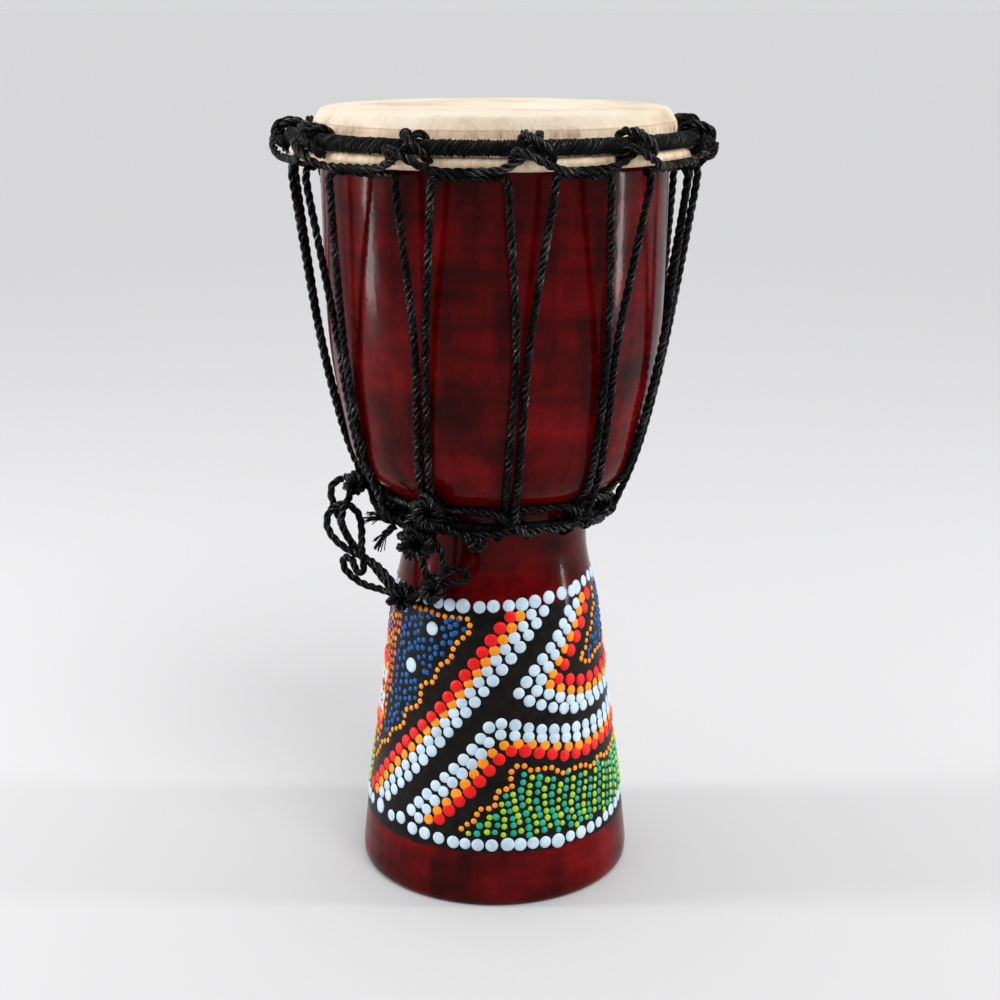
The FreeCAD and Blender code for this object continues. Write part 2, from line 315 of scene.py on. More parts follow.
section = rope_tree.nodes.new("GeometryNodeJoinGeometry")
for third in range(3):
    copy = add(rope_tree, "GeometryNodeTransform", Geometry=strand,
               Rotation=(0.0, 0.0, third * math.tau / 3))
    rope_tree.links.new(copy.outputs[0], section.inputs[0])
swept = add(rope_tree, "GeometryNodeCurveToMesh", Curve=line, Profile_Curve=section.outputs[0],
            Fill_Caps=True).outputs[0]
finish_tree(rope_tree, rope_in, swept)


def spline_points(points, fineness=10):
    # The rope's line: a smooth spline that the points pull into shape, read back as points.
    curve = bpy.data.curves.new("line", "CURVE")
    curve.dimensions = "3D"
    spline = curve.splines.new("NURBS")
    spline.points.add(len(points) - 1)
    for handle, point in zip(spline.points, points):
        handle.co = (*point, 1.0)
    spline.order_u = 3
    spline.use_endpoint_u = True
    spline.resolution_u = fineness
    holder = place("line", curve)
    mesh = solid_mesh(holder)
    bpy.data.objects.remove(holder)
    return mesh


def lay_rope(name, points, step=fine_step):
    mesh = spline_points(points)
    walked = [v.co.copy() for v in mesh.vertices]
    length = sum((b - a).length for a, b in zip(walked, walked[1:]))
    piece = grow(name, mesh, rope_tree, {
        "Strand Radius": strand_radius, "Strand Offset": strand_offset, "Pitch": rope_pitch,
        "Step": step, "Sides": strand_sides, "Material": rope_black})
    print("   length", round(length, 4))
    return piece, walked, length


def held_rope(name, points, *nodes, step=fine_step):
    # A rope that the drum holds all the way: laid, and handed over for its solids.
    piece = lay_rope(name, points, step)[0]
    hand_over(piece, "rope", *nodes)
    return piece

# %% [markdown]
# ## Spare rope
# After tuning, a long end is left over. It is knotted to the left tie, drops in a short chain
# of loops to a knot, goes back up round the chain and down again, and passes a second knot. It
# climbs into the front tie, drops out of it again and ends in a slipped loop by the second
# knot. It is one limp rope, so it is one spline, and the spline runs through every knot.

# %% Route of the spare rope, long end
chain_down = [
    (-0.0743, -0.0050, 0.2065), (-0.0754, -0.0080, 0.2015), (-0.0783, -0.0155, 0.1975),
    (-0.0798, -0.0155, 0.1906), (-0.0770, -0.0160, 0.1839), (-0.0735, -0.0165, 0.1780),
    (-0.0699, -0.0165, 0.1734), (-0.0655, -0.0205, 0.1715), (-0.0610, -0.0255, 0.1680),
    (-0.0570, -0.0295, 0.1635), (-0.0525, -0.0330, 0.1600),
]
turn_in_first_knot = [(-0.0480, -0.0345, 0.1570), (-0.0455, -0.0370, 0.1595)]
loops_back = [
    (-0.0494, -0.0378, 0.1604), (-0.0530, -0.0372, 0.1658), (-0.0577, -0.0335, 0.1705),
    (-0.0631, -0.0285, 0.1735), (-0.0694, -0.0210, 0.1740), (-0.0747, -0.0190, 0.1760),
    (-0.0799, -0.0180, 0.1790), (-0.0850, -0.0155, 0.1836), (-0.0876, -0.0130, 0.1892),
    (-0.0859, -0.0115, 0.1955), (-0.0811, -0.0110, 0.1992), (-0.0749, -0.0110, 0.1984),
    (-0.0703, -0.0125, 0.1941), (-0.0688, -0.0155, 0.1882), (-0.0687, -0.0195, 0.1818),
    (-0.0686, -0.0235, 0.1760), (-0.0670, -0.0265, 0.1710), (-0.0683, -0.0260, 0.1663),
    (-0.0720, -0.0230, 0.1662), (-0.0730, -0.0205, 0.1715), (-0.0785, -0.0170, 0.1730),
    (-0.0790, -0.0170, 0.1660), (-0.0719, -0.0200, 0.1604), (-0.0655, -0.0250, 0.1589),
    (-0.0595, -0.0295, 0.1590), (-0.0538, -0.0336, 0.1582),
]
between_knots = [
    (-0.0440, -0.0412, 0.1584), (-0.0396, -0.0462, 0.1610), (-0.0346, -0.0504, 0.1646),
]
rise_to_tie = [
    (-0.0334, -0.0536, 0.1715), (-0.0354, -0.0558, 0.1780), (-0.0362, -0.0578, 0.1850),
]
turn_in_tie = [(-0.0368, -0.0602, 0.1925), (-0.0340, -0.0618, 0.1960)]
fall_from_tie = [
    (-0.0305, -0.0625, 0.1945), (-0.0264, -0.0640, 0.1896), (-0.0250, -0.0630, 0.1834),
    (-0.0256, -0.0600, 0.1780), (-0.0280, -0.0565, 0.1730),
]
turn_in_second_knot = [(-0.0300, -0.0545, 0.1705), (-0.0295, -0.0550, 0.1720)]
slipped_loop = [
    (-0.0274, -0.0560, 0.1734), (-0.0226, -0.0586, 0.1776), (-0.0172, -0.0604, 0.1792),
    (-0.0136, -0.0610, 0.1779), (-0.0134, -0.0610, 0.1739), (-0.0172, -0.0600, 0.1726),
    (-0.0226, -0.0574, 0.1710), (-0.0270, -0.0550, 0.1692),
]
long_route = chain_down + turn_in_first_knot + loops_back + between_knots + rise_to_tie
long_route += turn_in_tie + fall_from_tie + turn_in_second_knot + slipped_loop
long_end, long_line, long_length = lay_rope("spare_rope_long_end", long_route)

# %% Route of the spare rope, short end
short_route = [
    (-0.0788, -0.0050, 0.2110), (-0.0832, -0.0060, 0.2100), (-0.0854, -0.0075, 0.2056),
    (-0.0845, -0.0085, 0.2000), (-0.0825, -0.0085, 0.1944), (-0.0803, -0.0085, 0.1886),
    (-0.0777, -0.0090, 0.1821), (-0.0734, -0.0110, 0.1760), (-0.0678, -0.0145, 0.1710),
    (-0.0620, -0.0200, 0.1675), (-0.0570, -0.0250, 0.1645), (-0.0524, -0.0302, 0.1614),
]
short_end, short_line, short_length = lay_rope("spare_rope_tail", short_route)

# %% [markdown]
# ## Knots
# A tight knot is a ball of crossing rope. A torus knot has the same over-and-under crossings
# as a real overhand knot, so a few turns of one, squeezed to the ball's size, make each tie.

# %% Knots
points_per_loop = 14
knot_depth = 0.95


def knot_route(middle, half, around, through, squeeze):
    # A torus knot of so many turns around and through, squeezed into a ball.
    points = []
    steps = points_per_loop * through
    for step in range(steps + 1):
        turn = math.tau * step / steps
        reach = 1.0 + squeeze * math.cos(through * turn)
        out = reach / (1.0 + squeeze)
        points.append(middle + Vector((
            half.x * out * math.cos(around * turn),
            half.y * math.sin(through * turn) * knot_depth,
            half.z * out * math.sin(around * turn))))
    return points


def knot_room(node):
    # The middle of a measured knot, and how far the rope's own line may go from it.
    low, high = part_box(node)
    return (low + high) / 2, (high - low) / 2 - Vector((1, 1, 1)) * rope_diameter / 2


knot_shapes = {
    "tie_knot_left": (2, 5, 0.55),
    "tie_knot_front_upper": (3, 7, 0.50),
    "tie_knot_front_lower": (3, 7, 0.50),
    "spare_knot_first": (2, 5, 0.55),
    "spare_knot_second": (3, 5, 0.50),
}
for node, (around, through, squeeze) in knot_shapes.items():
    middle, half = knot_room(node)
    route = knot_route(middle, half, around, through, squeeze)
    held_rope("wound_" + node, route, node)

hand_over(long_end, "rope", "spare_rope_chain", "spare_rope_return", "spare_rope_link",
          "spare_rope_rise", "spare_rope_fall", "spare_rope_bight")
hand_over(short_end, "rope", "spare_rope_short_end")

# %% [markdown]
# ## Stations
# Each V of the lacing hangs from one hitch on the crown hoop and turns under the cradle at
# the waist. A real drum is laced by hand, so no two stations are quite the same: each has its
# own bearing at the crown, halfway down, and at the waist.

# %% Stations, as bearings in degrees round from the front
stations = [
    (-88.0, -89.0, -92.0), (-56.0, -55.5, -61.0), (-21.5, -22.5, -28.0), (9.5, 8.1, 6.2),
    (38.5, 37.7, 41.5), (72.5, 69.0, 66.5), (106.0, 105.0, 103.0), (139.0, 140.0, 141.0),
    (172.0, 171.0, 173.0), (205.0, 206.0, 204.0), (238.0, 237.0, 236.0),
]
top_spread = [6.5, 6.5, 4.9, 6.0, 6.8, 7.0, 6.2, 6.0, 6.4, 6.0, 6.5]
crown_radius, crown_height = 0.100, 0.387
waist_hoop_radius, waist_hoop_height = 0.057, 0.199


def polar(bearing, radius, height):
    angle = math.radians(bearing)
    return Vector((radius * math.sin(angle), -radius * math.cos(angle), height))


def hitch(bearing, ring_radius, ring_height, steps):
    # Steps are (along, up, out) from the hoop's own centre line at this bearing.
    spread = ring_radius + rope_diameter
    route = []
    for along, up, out in steps:
        turned = bearing + math.degrees(along / spread)
        route.append(polar(turned, ring_radius + out, ring_height + up))
    return route

# %% [markdown]
# ## Upper cradle
# One rope goes round the head. At each station it climbs in front of the crown hoop, drops
# behind it, comes round again, crosses over itself, and swings down to the next station.

# %% Upper cradle rope
crown_steps = [
    (-0.0220, -0.0100, 0.0044), (-0.0145, -0.0094, 0.0052), (-0.0080, -0.0060, 0.0064),
    (-0.0015, -0.0008, 0.0066), (0.0026, 0.0050, 0.0046), (0.0039, 0.0065, -0.0015),
    (0.0044, 0.0033, -0.0060), (0.0058, -0.0030, -0.0060), (0.0080, -0.0068, -0.0020),
    (0.0090, -0.0053, 0.0048), (0.0065, -0.0005, 0.0085), (0.0008, 0.0036, 0.0086),
    (-0.0028, 0.0062, 0.0043), (-0.0036, 0.0066, -0.0022), (-0.0042, 0.0029, -0.0063),
    (-0.0060, -0.0036, -0.0060), (-0.0086, -0.0072, -0.0010), (-0.0106, -0.0044, 0.0054),
    (-0.0085, 0.0002, 0.0080), (-0.0030, -0.0022, 0.0100), (0.0040, -0.0060, 0.0096),
    (0.0100, -0.0089, 0.0078), (0.0155, -0.0102, 0.0056), (0.0220, -0.0102, 0.0044),
]
upper_route = [polar(91.5, 0.1105, 0.3805), polar(89.0, 0.1075, 0.3810),
               polar(87.0, 0.1045, 0.3780), polar(89.0, 0.1025, 0.3745)]
for top, mid, low in stations[6:] + [(s[0] + 360.0, s[1], s[2]) for s in stations[:6]]:
    upper_route += hitch(top, crown_radius, crown_height, crown_steps)
upper_route += [polar(449.0, 0.1008, 0.3708), polar(454.0, 0.0988, 0.3714)]
held_rope("upper_cradle", upper_route, "upper_cradle_rope")

# %% [markdown]
# ## Lower cradle
# The same idea hung the other way up on the waist hoop. Its two ends meet at the front ties,
# and the cut end that comes out below them has a small stopper knot.

# %% Lower cradle rope
waist_steps = [
    (-0.0125, 0.0104, 0.0058), (-0.0075, 0.0098, 0.0062), (-0.0030, 0.0076, 0.0070),
    (0.0030, 0.0025, 0.0076), (0.0090, -0.0020, 0.0055), (0.0115, -0.0048, 0.0000),
    (0.0100, -0.0032, -0.0038), (0.0080, 0.0044, -0.0016), (0.0046, 0.0053, 0.0040),
    (-0.0010, 0.0018, 0.0056), (-0.0050, -0.0032, 0.0042), (-0.0055, -0.0050, -0.0008),
    (-0.0040, -0.0030, -0.0038), (-0.0020, 0.0044, -0.0018), (0.0005, 0.0084, 0.0020),
    (0.0040, 0.0104, 0.0048), (0.0090, 0.0107, 0.0056),
]
lower_route = [polar(-44.0, 0.0625, 0.1885), polar(-43.0, 0.0660, 0.1945),
               polar(-41.0, 0.0666, 0.2015)]
lower_route += hitch(-28.0, waist_hoop_radius, waist_hoop_height, waist_steps)[1:]
for bearing in [s[2] for s in stations[3:]] + [s[2] + 360.0 for s in stations[:2]]:
    lower_route += hitch(bearing, waist_hoop_radius, waist_hoop_height, waist_steps)
lower_route += [polar(327.0, 0.0644, 0.2076), polar(336.0, 0.0664, 0.2030),
                polar(343.0, 0.0668, 0.1984), polar(347.5, 0.0654, 0.1954),
                polar(351.5, 0.0636, 0.1936)]
held_rope("lower_cradle", lower_route, "lower_cradle_rope")

# %% Stopper knot on the cut end of the lower cradle
stopper_middle = polar(351.8, 0.0634, 0.1932)
stopper_half = Vector((0.0032, 0.0030, 0.0036))
held_rope("stopper_knot", knot_route(stopper_middle, stopper_half, 2, 3, 0.6))

# %% [markdown]
# ## Binding turn
# Just under the hitches one more turn of the same rope lies on the hoop, from one front tie
# round the back to the other. It was laid by hand, so it wavers a little up and down.

# %% Binding rope at the waist
binding_radius = 0.0621
binding_drop = 0.001
binding_points = []
for bearing in range(-26, 326, 8):
    angle = math.radians(bearing)
    rise = 0.0007 * math.sin(5 * angle) + 0.0005 * math.sin(11 * angle)
    binding_points.append(polar(bearing, binding_radius, waist_hoop_height - binding_drop + rise))
held_rope("waist_binding", binding_points, "waist_binding_rope")

# %% [markdown]
# ## Lacing
# One long rope runs up and down between the cradles. Its legs are pulled straight, so they
# touch the bowl at its widest and stand clear of it below.

# %% Lacing rope
def lacing_leg(top, spread, mid, low, side):
    # From the crown down to the waist; side is -1 for the left leg and 1 for the right.
    upper = top + side * spread
    return [
        polar(upper + side * 2.0, 0.0944, 0.3738),
        polar(upper + side * 0.8, 0.0982, 0.3744),
        polar(upper, 0.1010, 0.3718),
        polar(upper, 0.1006, 0.3656),
        polar(upper + (mid - upper) * 0.42 + side * 0.4, 0.0960, 0.3330),
        polar(mid + side * 1.5, 0.0902, 0.2910),
        polar(mid * 0.65 + low * 0.35 + side * 1.75, 0.0846, 0.2620),
        polar(mid * 0.3 + low * 0.7 + side * 2.0, 0.0782, 0.2360),
        polar(low + side * 2.2, 0.0724, 0.2190),
    ]


def lacing_turn(low):
    return [polar(low - 2.2, 0.0606, 0.2110), polar(low - 1.6, 0.0580, 0.2054),
            polar(low, 0.0608, 0.2016), polar(low + 1.6, 0.0656, 0.2026),
            polar(low + 2.2, 0.0680, 0.2096)]


first_top, first_mid, first_low = stations[0]
lacing_points = lacing_turn(first_low)[2:]
lacing_points += reversed(lacing_leg(first_top, top_spread[0], first_mid, first_low, 1))
for (top, mid, low), spread in zip(stations[1:], top_spread[1:]):
    lacing_points += lacing_leg(top, spread, mid, low, -1)
    lacing_points += lacing_turn(low)
    lacing_points += reversed(lacing_leg(top, spread, mid, low, 1))
lacing_points += lacing_leg(first_top + 360, top_spread[0], first_mid + 360, first_low + 360, -1)
lacing_points += lacing_turn(first_low + 360)[:2]
held_rope("lacing", lacing_points, "lacing_rope", step=ring_step)

# %% [markdown]
# ## Cut ends
# Two cut ends stick out of the front tie, and nobody sealed them, so they open into a brush of
# filaments. A third, at the left of the head, is cut clean, and a few filaments stand out of
# the hitch at the right. Each brush is a bundle of short bent lines, and a tree sweeps a thin
# thread along them.

# %% The tree that thickens loose filaments
fray_tree, fray_in = growing_tree("loose_filaments", [
    ("Thread Radius", "Float"), ("Sides", "Int"), ("Material", "Material")])
hairs = add(fray_tree, "GeometryNodeMeshToCurve", Mesh=fray_in["Geometry"]).outputs[0]
thread = add(fray_tree, "GeometryNodeCurvePrimitiveCircle", Resolution=fray_in["Sides"],
             Radius=fray_in["Thread Radius"]).outputs[0]
swept = add(fray_tree, "GeometryNodeCurveToMesh", Curve=hairs, Profile_Curve=thread).outputs[0]
finish_tree(fray_tree, fray_in, swept)
thread_radius = 0.00030
thread_sides = 5
thread_spans = 4
root_spread = 0.0011
brush_chance = random.Random(23)


def brush(name, root, heading, length, filaments, spread):
    heading = Vector(heading).normalized()
    spots, edges = [], []
    for filament in range(filaments):
        loose = [brush_chance.uniform(-1, 1) for axis in range(3)]
        here = Vector(root) + Vector(loose) * root_spread
        way = (heading + Vector(loose) * spread).normalized()
        droop = Vector((0, 0, -brush_chance.uniform(0.0, 0.5)))
        reach = length * brush_chance.uniform(0.55, 1.0)
        first = len(spots)
        for step in range(thread_spans + 1):
            bent = droop * reach * (step / thread_spans) ** 2
            spots.append(here + way * reach * step / thread_spans + bent)
        edges += [(i, i + 1) for i in range(first, first + thread_spans)]
    mesh = bpy.data.meshes.new(name)
    mesh.from_pydata(spots, edges, [])
    piece = grow(name, mesh, fray_tree, {
        "Thread Radius": thread_radius, "Sides": thread_sides, "Material": rope_black})
    hand_over(piece, "rope")


# %% Cut ends and their brushes
cut_ends = {
    "cut_end_upper": [
        (-0.0495, -0.0455, 0.1990), (-0.0540, -0.0462, 0.2010), (-0.0580, -0.0462, 0.2022)],
    "cut_end_lower": [
        (-0.0495, -0.0460, 0.1975), (-0.0530, -0.0470, 0.1955), (-0.0552, -0.0478, 0.1930)],
    "cut_end_head": [
        polar(-72.0, 0.0990, 0.3905), polar(-68.0, 0.0975, 0.3935), polar(-64.5, 0.0965, 0.3965)],
}
for name, points in cut_ends.items():
    held_rope(name, points)
brush("brush_upper", cut_ends["cut_end_upper"][-1], (-1.0, -0.1, 0.30), 0.0080, 26, 0.50)
brush("brush_lower", cut_ends["cut_end_lower"][-1], (-0.7, -0.2, -0.70), 0.0075, 24, 0.45)
brush("brush_right", polar(67.5, 0.1010, 0.3945), (-0.7, -0.2, 0.8), 0.0050, 9, 0.35)

# %% [markdown]
# ## Yarn on the hoops
# Both steel hoops are wound closely with thin black yarn so that they grip the skin and the
# rope. The tree bends one long helix round the hoop and sweeps a small circle along it. The
# winding leans a little one way and then the other, as yarn wound by hand does.

# %% The tree that winds a hoop
wobble_spread = 90.0
wobble_scale = 14.0
thinnest_share = 0.56
thickness_range = 0.88
lean_reach = 0.034
wrap_tree, wrap_in = growing_tree("wound_hoop", [
    ("Hoop Radius", "Float"), ("Hoop Height", "Float"), ("Winding Radius", "Float"),
    ("Yarn Radius", "Float"), ("Turns", "Int"), ("Points Per Turn", "Int"),
    ("Sides", "Int"), ("Material", "Material")])
count = math_node(wrap_tree, "MULTIPLY", wrap_in["Turns"], wrap_in["Points Per Turn"])
helix = add(wrap_tree, "GeometryNodeCurvePrimitiveCircle", Resolution=count,
            Radius=1.0).outputs[0]
index = add(wrap_tree, "GeometryNodeInputIndex").outputs[0]
part_way = math_node(wrap_tree, "DIVIDE", index, count)
ring_angle = math_node(wrap_tree, "MULTIPLY", part_way, math.tau)
wind_angle = math_node(wrap_tree, "MULTIPLY",
                       math_node(wrap_tree, "DIVIDE", index, wrap_in["Points Per Turn"]), math.tau)
wobble_seed = add(wrap_tree, "ShaderNodeCombineXYZ",
                  X=math_node(wrap_tree, "MULTIPLY", part_way, wobble_spread))
wobble = add(wrap_tree, "ShaderNodeTexNoise", Vector=wobble_seed.outputs[0], Scale=wobble_scale,
             Detail=5.0).outputs[0]
uneven = math_node(wrap_tree, "ADD", thinnest_share,
                   math_node(wrap_tree, "MULTIPLY", wobble, thickness_range))
reach = math_node(wrap_tree, "MULTIPLY", wrap_in["Winding Radius"], uneven)
lean = math_node(wrap_tree, "MULTIPLY", math_node(wrap_tree, "SINE", wind_angle),
                 math_node(wrap_tree, "MULTIPLY", wobble, lean_reach))
ring_angle = math_node(wrap_tree, "ADD", ring_angle, lean)
out = math_node(wrap_tree, "ADD", wrap_in["Hoop Radius"],
                math_node(wrap_tree, "MULTIPLY", reach, math_node(wrap_tree, "COSINE", wind_angle)))
up = math_node(wrap_tree, "ADD", wrap_in["Hoop Height"],
               math_node(wrap_tree, "MULTIPLY", reach, math_node(wrap_tree, "SINE", wind_angle)))
spot = add(wrap_tree, "ShaderNodeCombineXYZ",
           X=math_node(wrap_tree, "MULTIPLY", out, math_node(wrap_tree, "COSINE", ring_angle)),
           Y=math_node(wrap_tree, "MULTIPLY", out, math_node(wrap_tree, "SINE", ring_angle)), Z=up)
helix = add(wrap_tree, "GeometryNodeSetPosition", Geometry=helix,
            Position=spot.outputs[0]).outputs[0]
walked = add(wrap_tree, "GeometryNodeSplineParameter").outputs["Length"]
helix = add(wrap_tree, "GeometryNodeStoreNamedAttribute", {"data_type": "FLOAT"}, Geometry=helix,
            Name="along", Value=walked).outputs[0]
yarn = add(wrap_tree, "GeometryNodeCurvePrimitiveCircle", Resolution=wrap_in["Sides"],
           Radius=wrap_in["Yarn Radius"]).outputs[0]
here = add(wrap_tree, "GeometryNodeInputPosition").outputs[0]
yarn = add(wrap_tree, "GeometryNodeStoreNamedAttribute", {"data_type": "FLOAT_VECTOR"},
           Geometry=yarn, Name="around", Value=here).outputs[0]
swept = add(wrap_tree, "GeometryNodeCurveToMesh", Curve=helix, Profile_Curve=yarn).outputs[0]
finish_tree(wrap_tree, wrap_in, swept)

# %% Wind both hoops
yarn_radius = 0.00070
yarn_sides = 6
points_per_turn = 14
for name, node, radius, height, winding, turns in (
        ("crown_hoop_yarn", "crown_hoop_wrap", crown_radius, crown_height, 0.0032, 430),
        ("waist_hoop_yarn", "waist_hoop_wrap", waist_hoop_radius, waist_hoop_height, 0.0021, 250)):
    wound = grow(name, bpy.data.meshes.new(name), wrap_tree, {
        "Hoop Radius": radius, "Hoop Height": height, "Winding Radius": winding,
        "Yarn Radius": yarn_radius, "Turns": turns, "Points Per Turn": points_per_turn,
        "Sides": yarn_sides, "Material": yarn_black})
    hand_over(wound, "hoop_yarn", node)

# %% [markdown]
# ## Turned and stretched shapes
# The shell and the skin are both round, so both are lathed: an outline of radius and height is
# carried round the axis. A cubic spline through the measured points bends evenly, so the
# gloss runs over it without a kink. A small push per point keeps the skin from looking turned.

# %% Lathe helpers
def smooth_outline(points, per_span):
    # A natural cubic spline through the points, by distance along them.
    table = np.array(points)
    steps = np.linalg.norm(np.diff(table, axis=0), axis=1)
    at = np.concatenate([[0.0], np.cumsum(steps)])
    size = len(points)
    left = np.eye(size)
    right = np.zeros((size, 2))
    for i in range(1, size - 1):
        before, after = steps[i - 1], steps[i]
        left[i, i - 1:i + 2] = before, 2 * (before + after), after
        slope_after = (table[i + 1] - table[i]) / after
        slope_before = (table[i] - table[i - 1]) / before
        right[i] = 6 * (slope_after - slope_before)
    bend = np.linalg.solve(left, right)
    made = []
    for i in range(size - 1):
        step = steps[i]
        for part in range(per_span):
            a = part / per_span
            b = 1 - a
            spot = b * table[i] + a * table[i + 1]
            spot = spot + step ** 2 / 6 * ((b ** 3 - b) * bend[i] + (a ** 3 - a) * bend[i + 1])
            made.append(tuple(spot))
    made.append(tuple(table[-1]))
    return made


def corner(centre, radius, start, end, steps):
    made = []
    for step in range(steps + 1):
        angle = math.radians(start + (end - start) * step / steps)
        made.append((centre[0] + radius * math.cos(angle), centre[1] + radius * math.sin(angle)))
    return made


def lathe(name, outline, segments, push=None):
    mesh = bmesh.new()
    rings = []
    for radius, height in outline:
        ring = []
        for step in range(segments):
            bearing = 360.0 * step / segments
            r, z = push(bearing, radius, height) if push else (radius, height)
            ring.append(mesh.verts.new(polar(bearing, r, z)))
        rings.append(ring)
    for inner, outer in zip(rings, rings[1:] + rings[:1]):
        for i in range(segments):
            j = (i + 1) % segments
            mesh.faces.new((inner[i], inner[j], outer[j], outer[i]))
    bmesh.ops.remove_doubles(mesh, verts=mesh.verts, dist=1e-7)
    bmesh.ops.recalc_face_normals(mesh, faces=mesh.faces)
    for face in mesh.faces:
        face.smooth = True
    data = bpy.data.meshes.new(name)
    mesh.to_mesh(data)
    mesh.free()
    print(name, "faces", len(data.polygons))
    return place(name, data)

# %% [markdown]
# ## Shell
# The goblet is one piece of soft wood, turned, stained dark red and dipped in gloss lacquer.
# Stain sinks in unevenly, so the red is bright where the wood is close and nearly black where
# it is open. The band on the stem is flat black paint under the dots, with a wavering edge.

# %% Shell shape
rim_height = 0.3989
rim_edge = 0.005
shell_outside = [
    (0.0717, 0.0080), (0.0697, 0.0270), (0.0652, 0.0620), (0.0589, 0.1080),
    (0.0526, 0.1540), (0.0481, 0.1860), (0.0496, 0.1940), (0.0550, 0.2055), (0.0682, 0.2175),
    (0.0769, 0.2410), (0.0826, 0.2710), (0.0855, 0.3050), (0.0864, 0.3450),
    (0.0872, rim_height - rim_edge),
]
shell_inside = [
    (0.0782, rim_height - rim_edge), (0.0772, 0.3450), (0.0758, 0.3050), (0.0725, 0.2710),
    (0.0660, 0.2410), (0.0530, 0.2170), (0.0395, 0.2000), (0.0350, 0.1860), (0.0390, 0.1600),
    (0.0475, 0.1080), (0.0550, 0.0500), (0.0610, 0.0000),
]
foot_edge = [(0.0682, 0.0), (0.0697, 0.0006), (0.0708, 0.0016), (0.0715, 0.0035)]
rim_corner = corner((0.0872 - rim_edge, rim_height - rim_edge), rim_edge, 0, 90, 8)
shell_outline = foot_edge + smooth_outline(shell_outside, 10) + rim_corner[1:]
shell_outline += [(0.0804, rim_height)] + smooth_outline(shell_inside, 5)
shell = lathe("shell_lacquered", shell_outline, 288)
hand_over(shell, "lacquered_shell", "shell")

# %% Shell lacquer
band_bottom = 0.0315
band_top = 0.1575
lacquer, tree, surface = material("maroon_lacquer")
space = own_space(tree)
grain = noise(tree, stretched(tree, space, (1.0, 1.0, 0.10)), 95.0, 6.0)
rings = noise(tree, stretched(tree, space, (0.25, 0.25, 3.0)), 42.0, 4.0)
blotch = noise(tree, space, 26.0, 5.0, 0.6)
stain = math_node(tree, "ADD", math_node(tree, "MULTIPLY", grain, 0.35),
                  math_node(tree, "MULTIPLY", blotch, 0.75))
stain = math_node(tree, "ADD", stain, math_node(tree, "MULTIPLY", rings, 0.25))
red = ramp(tree, stain, [(0.50, (0.014, 0.0001, 0.0002)), (0.62, (0.040, 0.0003, 0.0005)),
                         (0.74, (0.092, 0.0008, 0.0013)), (0.88, (0.17, 0.0026, 0.0036))])
height = add(tree, "ShaderNodeSeparateXYZ", Vector=space).outputs["Z"]
waver = math_node(tree, "MULTIPLY", noise(tree, space, 60.0, 3.0), 0.004)
edge = math_node(tree, "ADD", height, waver)
over = math_node(tree, "GREATER_THAN", edge, band_bottom)
under = math_node(tree, "LESS_THAN", edge, band_top)
band = math_node(tree, "MULTIPLY", over, under)
dusty = ramp(tree, noise(tree, space, 220.0, 5.0), [(0.35, (0.0035, 0.0030, 0.0028)),
                                                     (0.75, (0.0110, 0.0090, 0.0080))])
tree.links.new(mixed(tree, band, red, dusty), surface.inputs["Base Color"])
polish = ramp(tree, noise(tree, space, 70.0, 4.0), [(0.35, grey(0.17)), (0.75, grey(0.30))])
matt = ramp(tree, noise(tree, space, 150.0, 4.0), [(0.3, grey(0.30)), (0.8, grey(0.48))])
tree.links.new(mixed(tree, band, polish, matt), surface.inputs["Roughness"])
surface.inputs["Specular IOR Level"].default_value = 0.03
surface.inputs["Coat Weight"].default_value = 0.20
surface.inputs["Coat IOR"].default_value = 1.33
surface.inputs["Coat Roughness"].default_value = 0.07
brushed = noise(tree, stretched(tree, space, (1.0, 1.0, 0.4)), 34.0, 3.0)
peel = noise(tree, space, 420.0, 3.0)
ripple = math_node(tree, "ADD", brushed, math_node(tree, "MULTIPLY", peel, 0.10))
bump = bumped(tree, surface, ripple, 0.0012, 0.35)
tree.links.new(bump.outputs[0], surface.inputs["Coat Normal"])
shell.data.materials.append(lacquer)

# %% [markdown]
# ## Skin
# Goat skin is put on wet. It is pulled over the rim, down the side, and lapped round the inner
# steel hoop, and it dries hard. The top is scraped pale and has a small round edge, then a
# sloped side down to a thin crease, drawn dark with painted shade. Below the crease it is browner,
# with short wrinkles where it is gathered, and the lap under the crown hoop is a lumpy roll.

# %% Skin shape
skin_top = 0.400
skin_thickness = 0.001
top_edge = [(0.0842, 0.4000), (0.0850, 0.39985), (0.0857, 0.3995), (0.0863, 0.3990),
            (0.0868, 0.3984)]
bevel_and_crease = [(0.0884, 0.39595), (0.0896, 0.3941), (0.0899, 0.3936), (0.09005, 0.3930),
                    (0.0903, 0.3910), (0.0906, 0.3885)]
inner_side = [(0.0888, 0.3880), (0.0881, 0.3932), (0.0877, 0.3946), (0.0871, 0.3964),
              (0.0862, 0.3976), (0.0853, 0.3985), (0.0842, 0.3990)]
flesh_radius, flesh_height, lap_radius = 0.0986, 0.3799, 0.00325
fold_depth = 0.00028
sag_depth = 0.0002
flat_radius = 0.0860


def wrinkle(bearing, radius, height):
    # Gathers that fade to nothing on the flat top.
    a = math.radians(bearing)
    fold = 0.5 * math.sin(23 * a + 1.0) + 0.3 * math.sin(41 * a) + 0.2 * math.sin(67 * a + 2.0)
    sag = 0.6 * math.sin(5 * a + 0.7) + 0.4 * math.sin(9 * a)
    side = min(1.0, max(0.0, (radius - flat_radius) / 0.004))
    down = min(1.0, max(0.0, (0.3985 - height) / 0.006))
    pressed = fold_depth * side * (1 + fold) * down
    sunk = sag_depth * (1 + sag) * side * down
    return radius - pressed, height - sunk


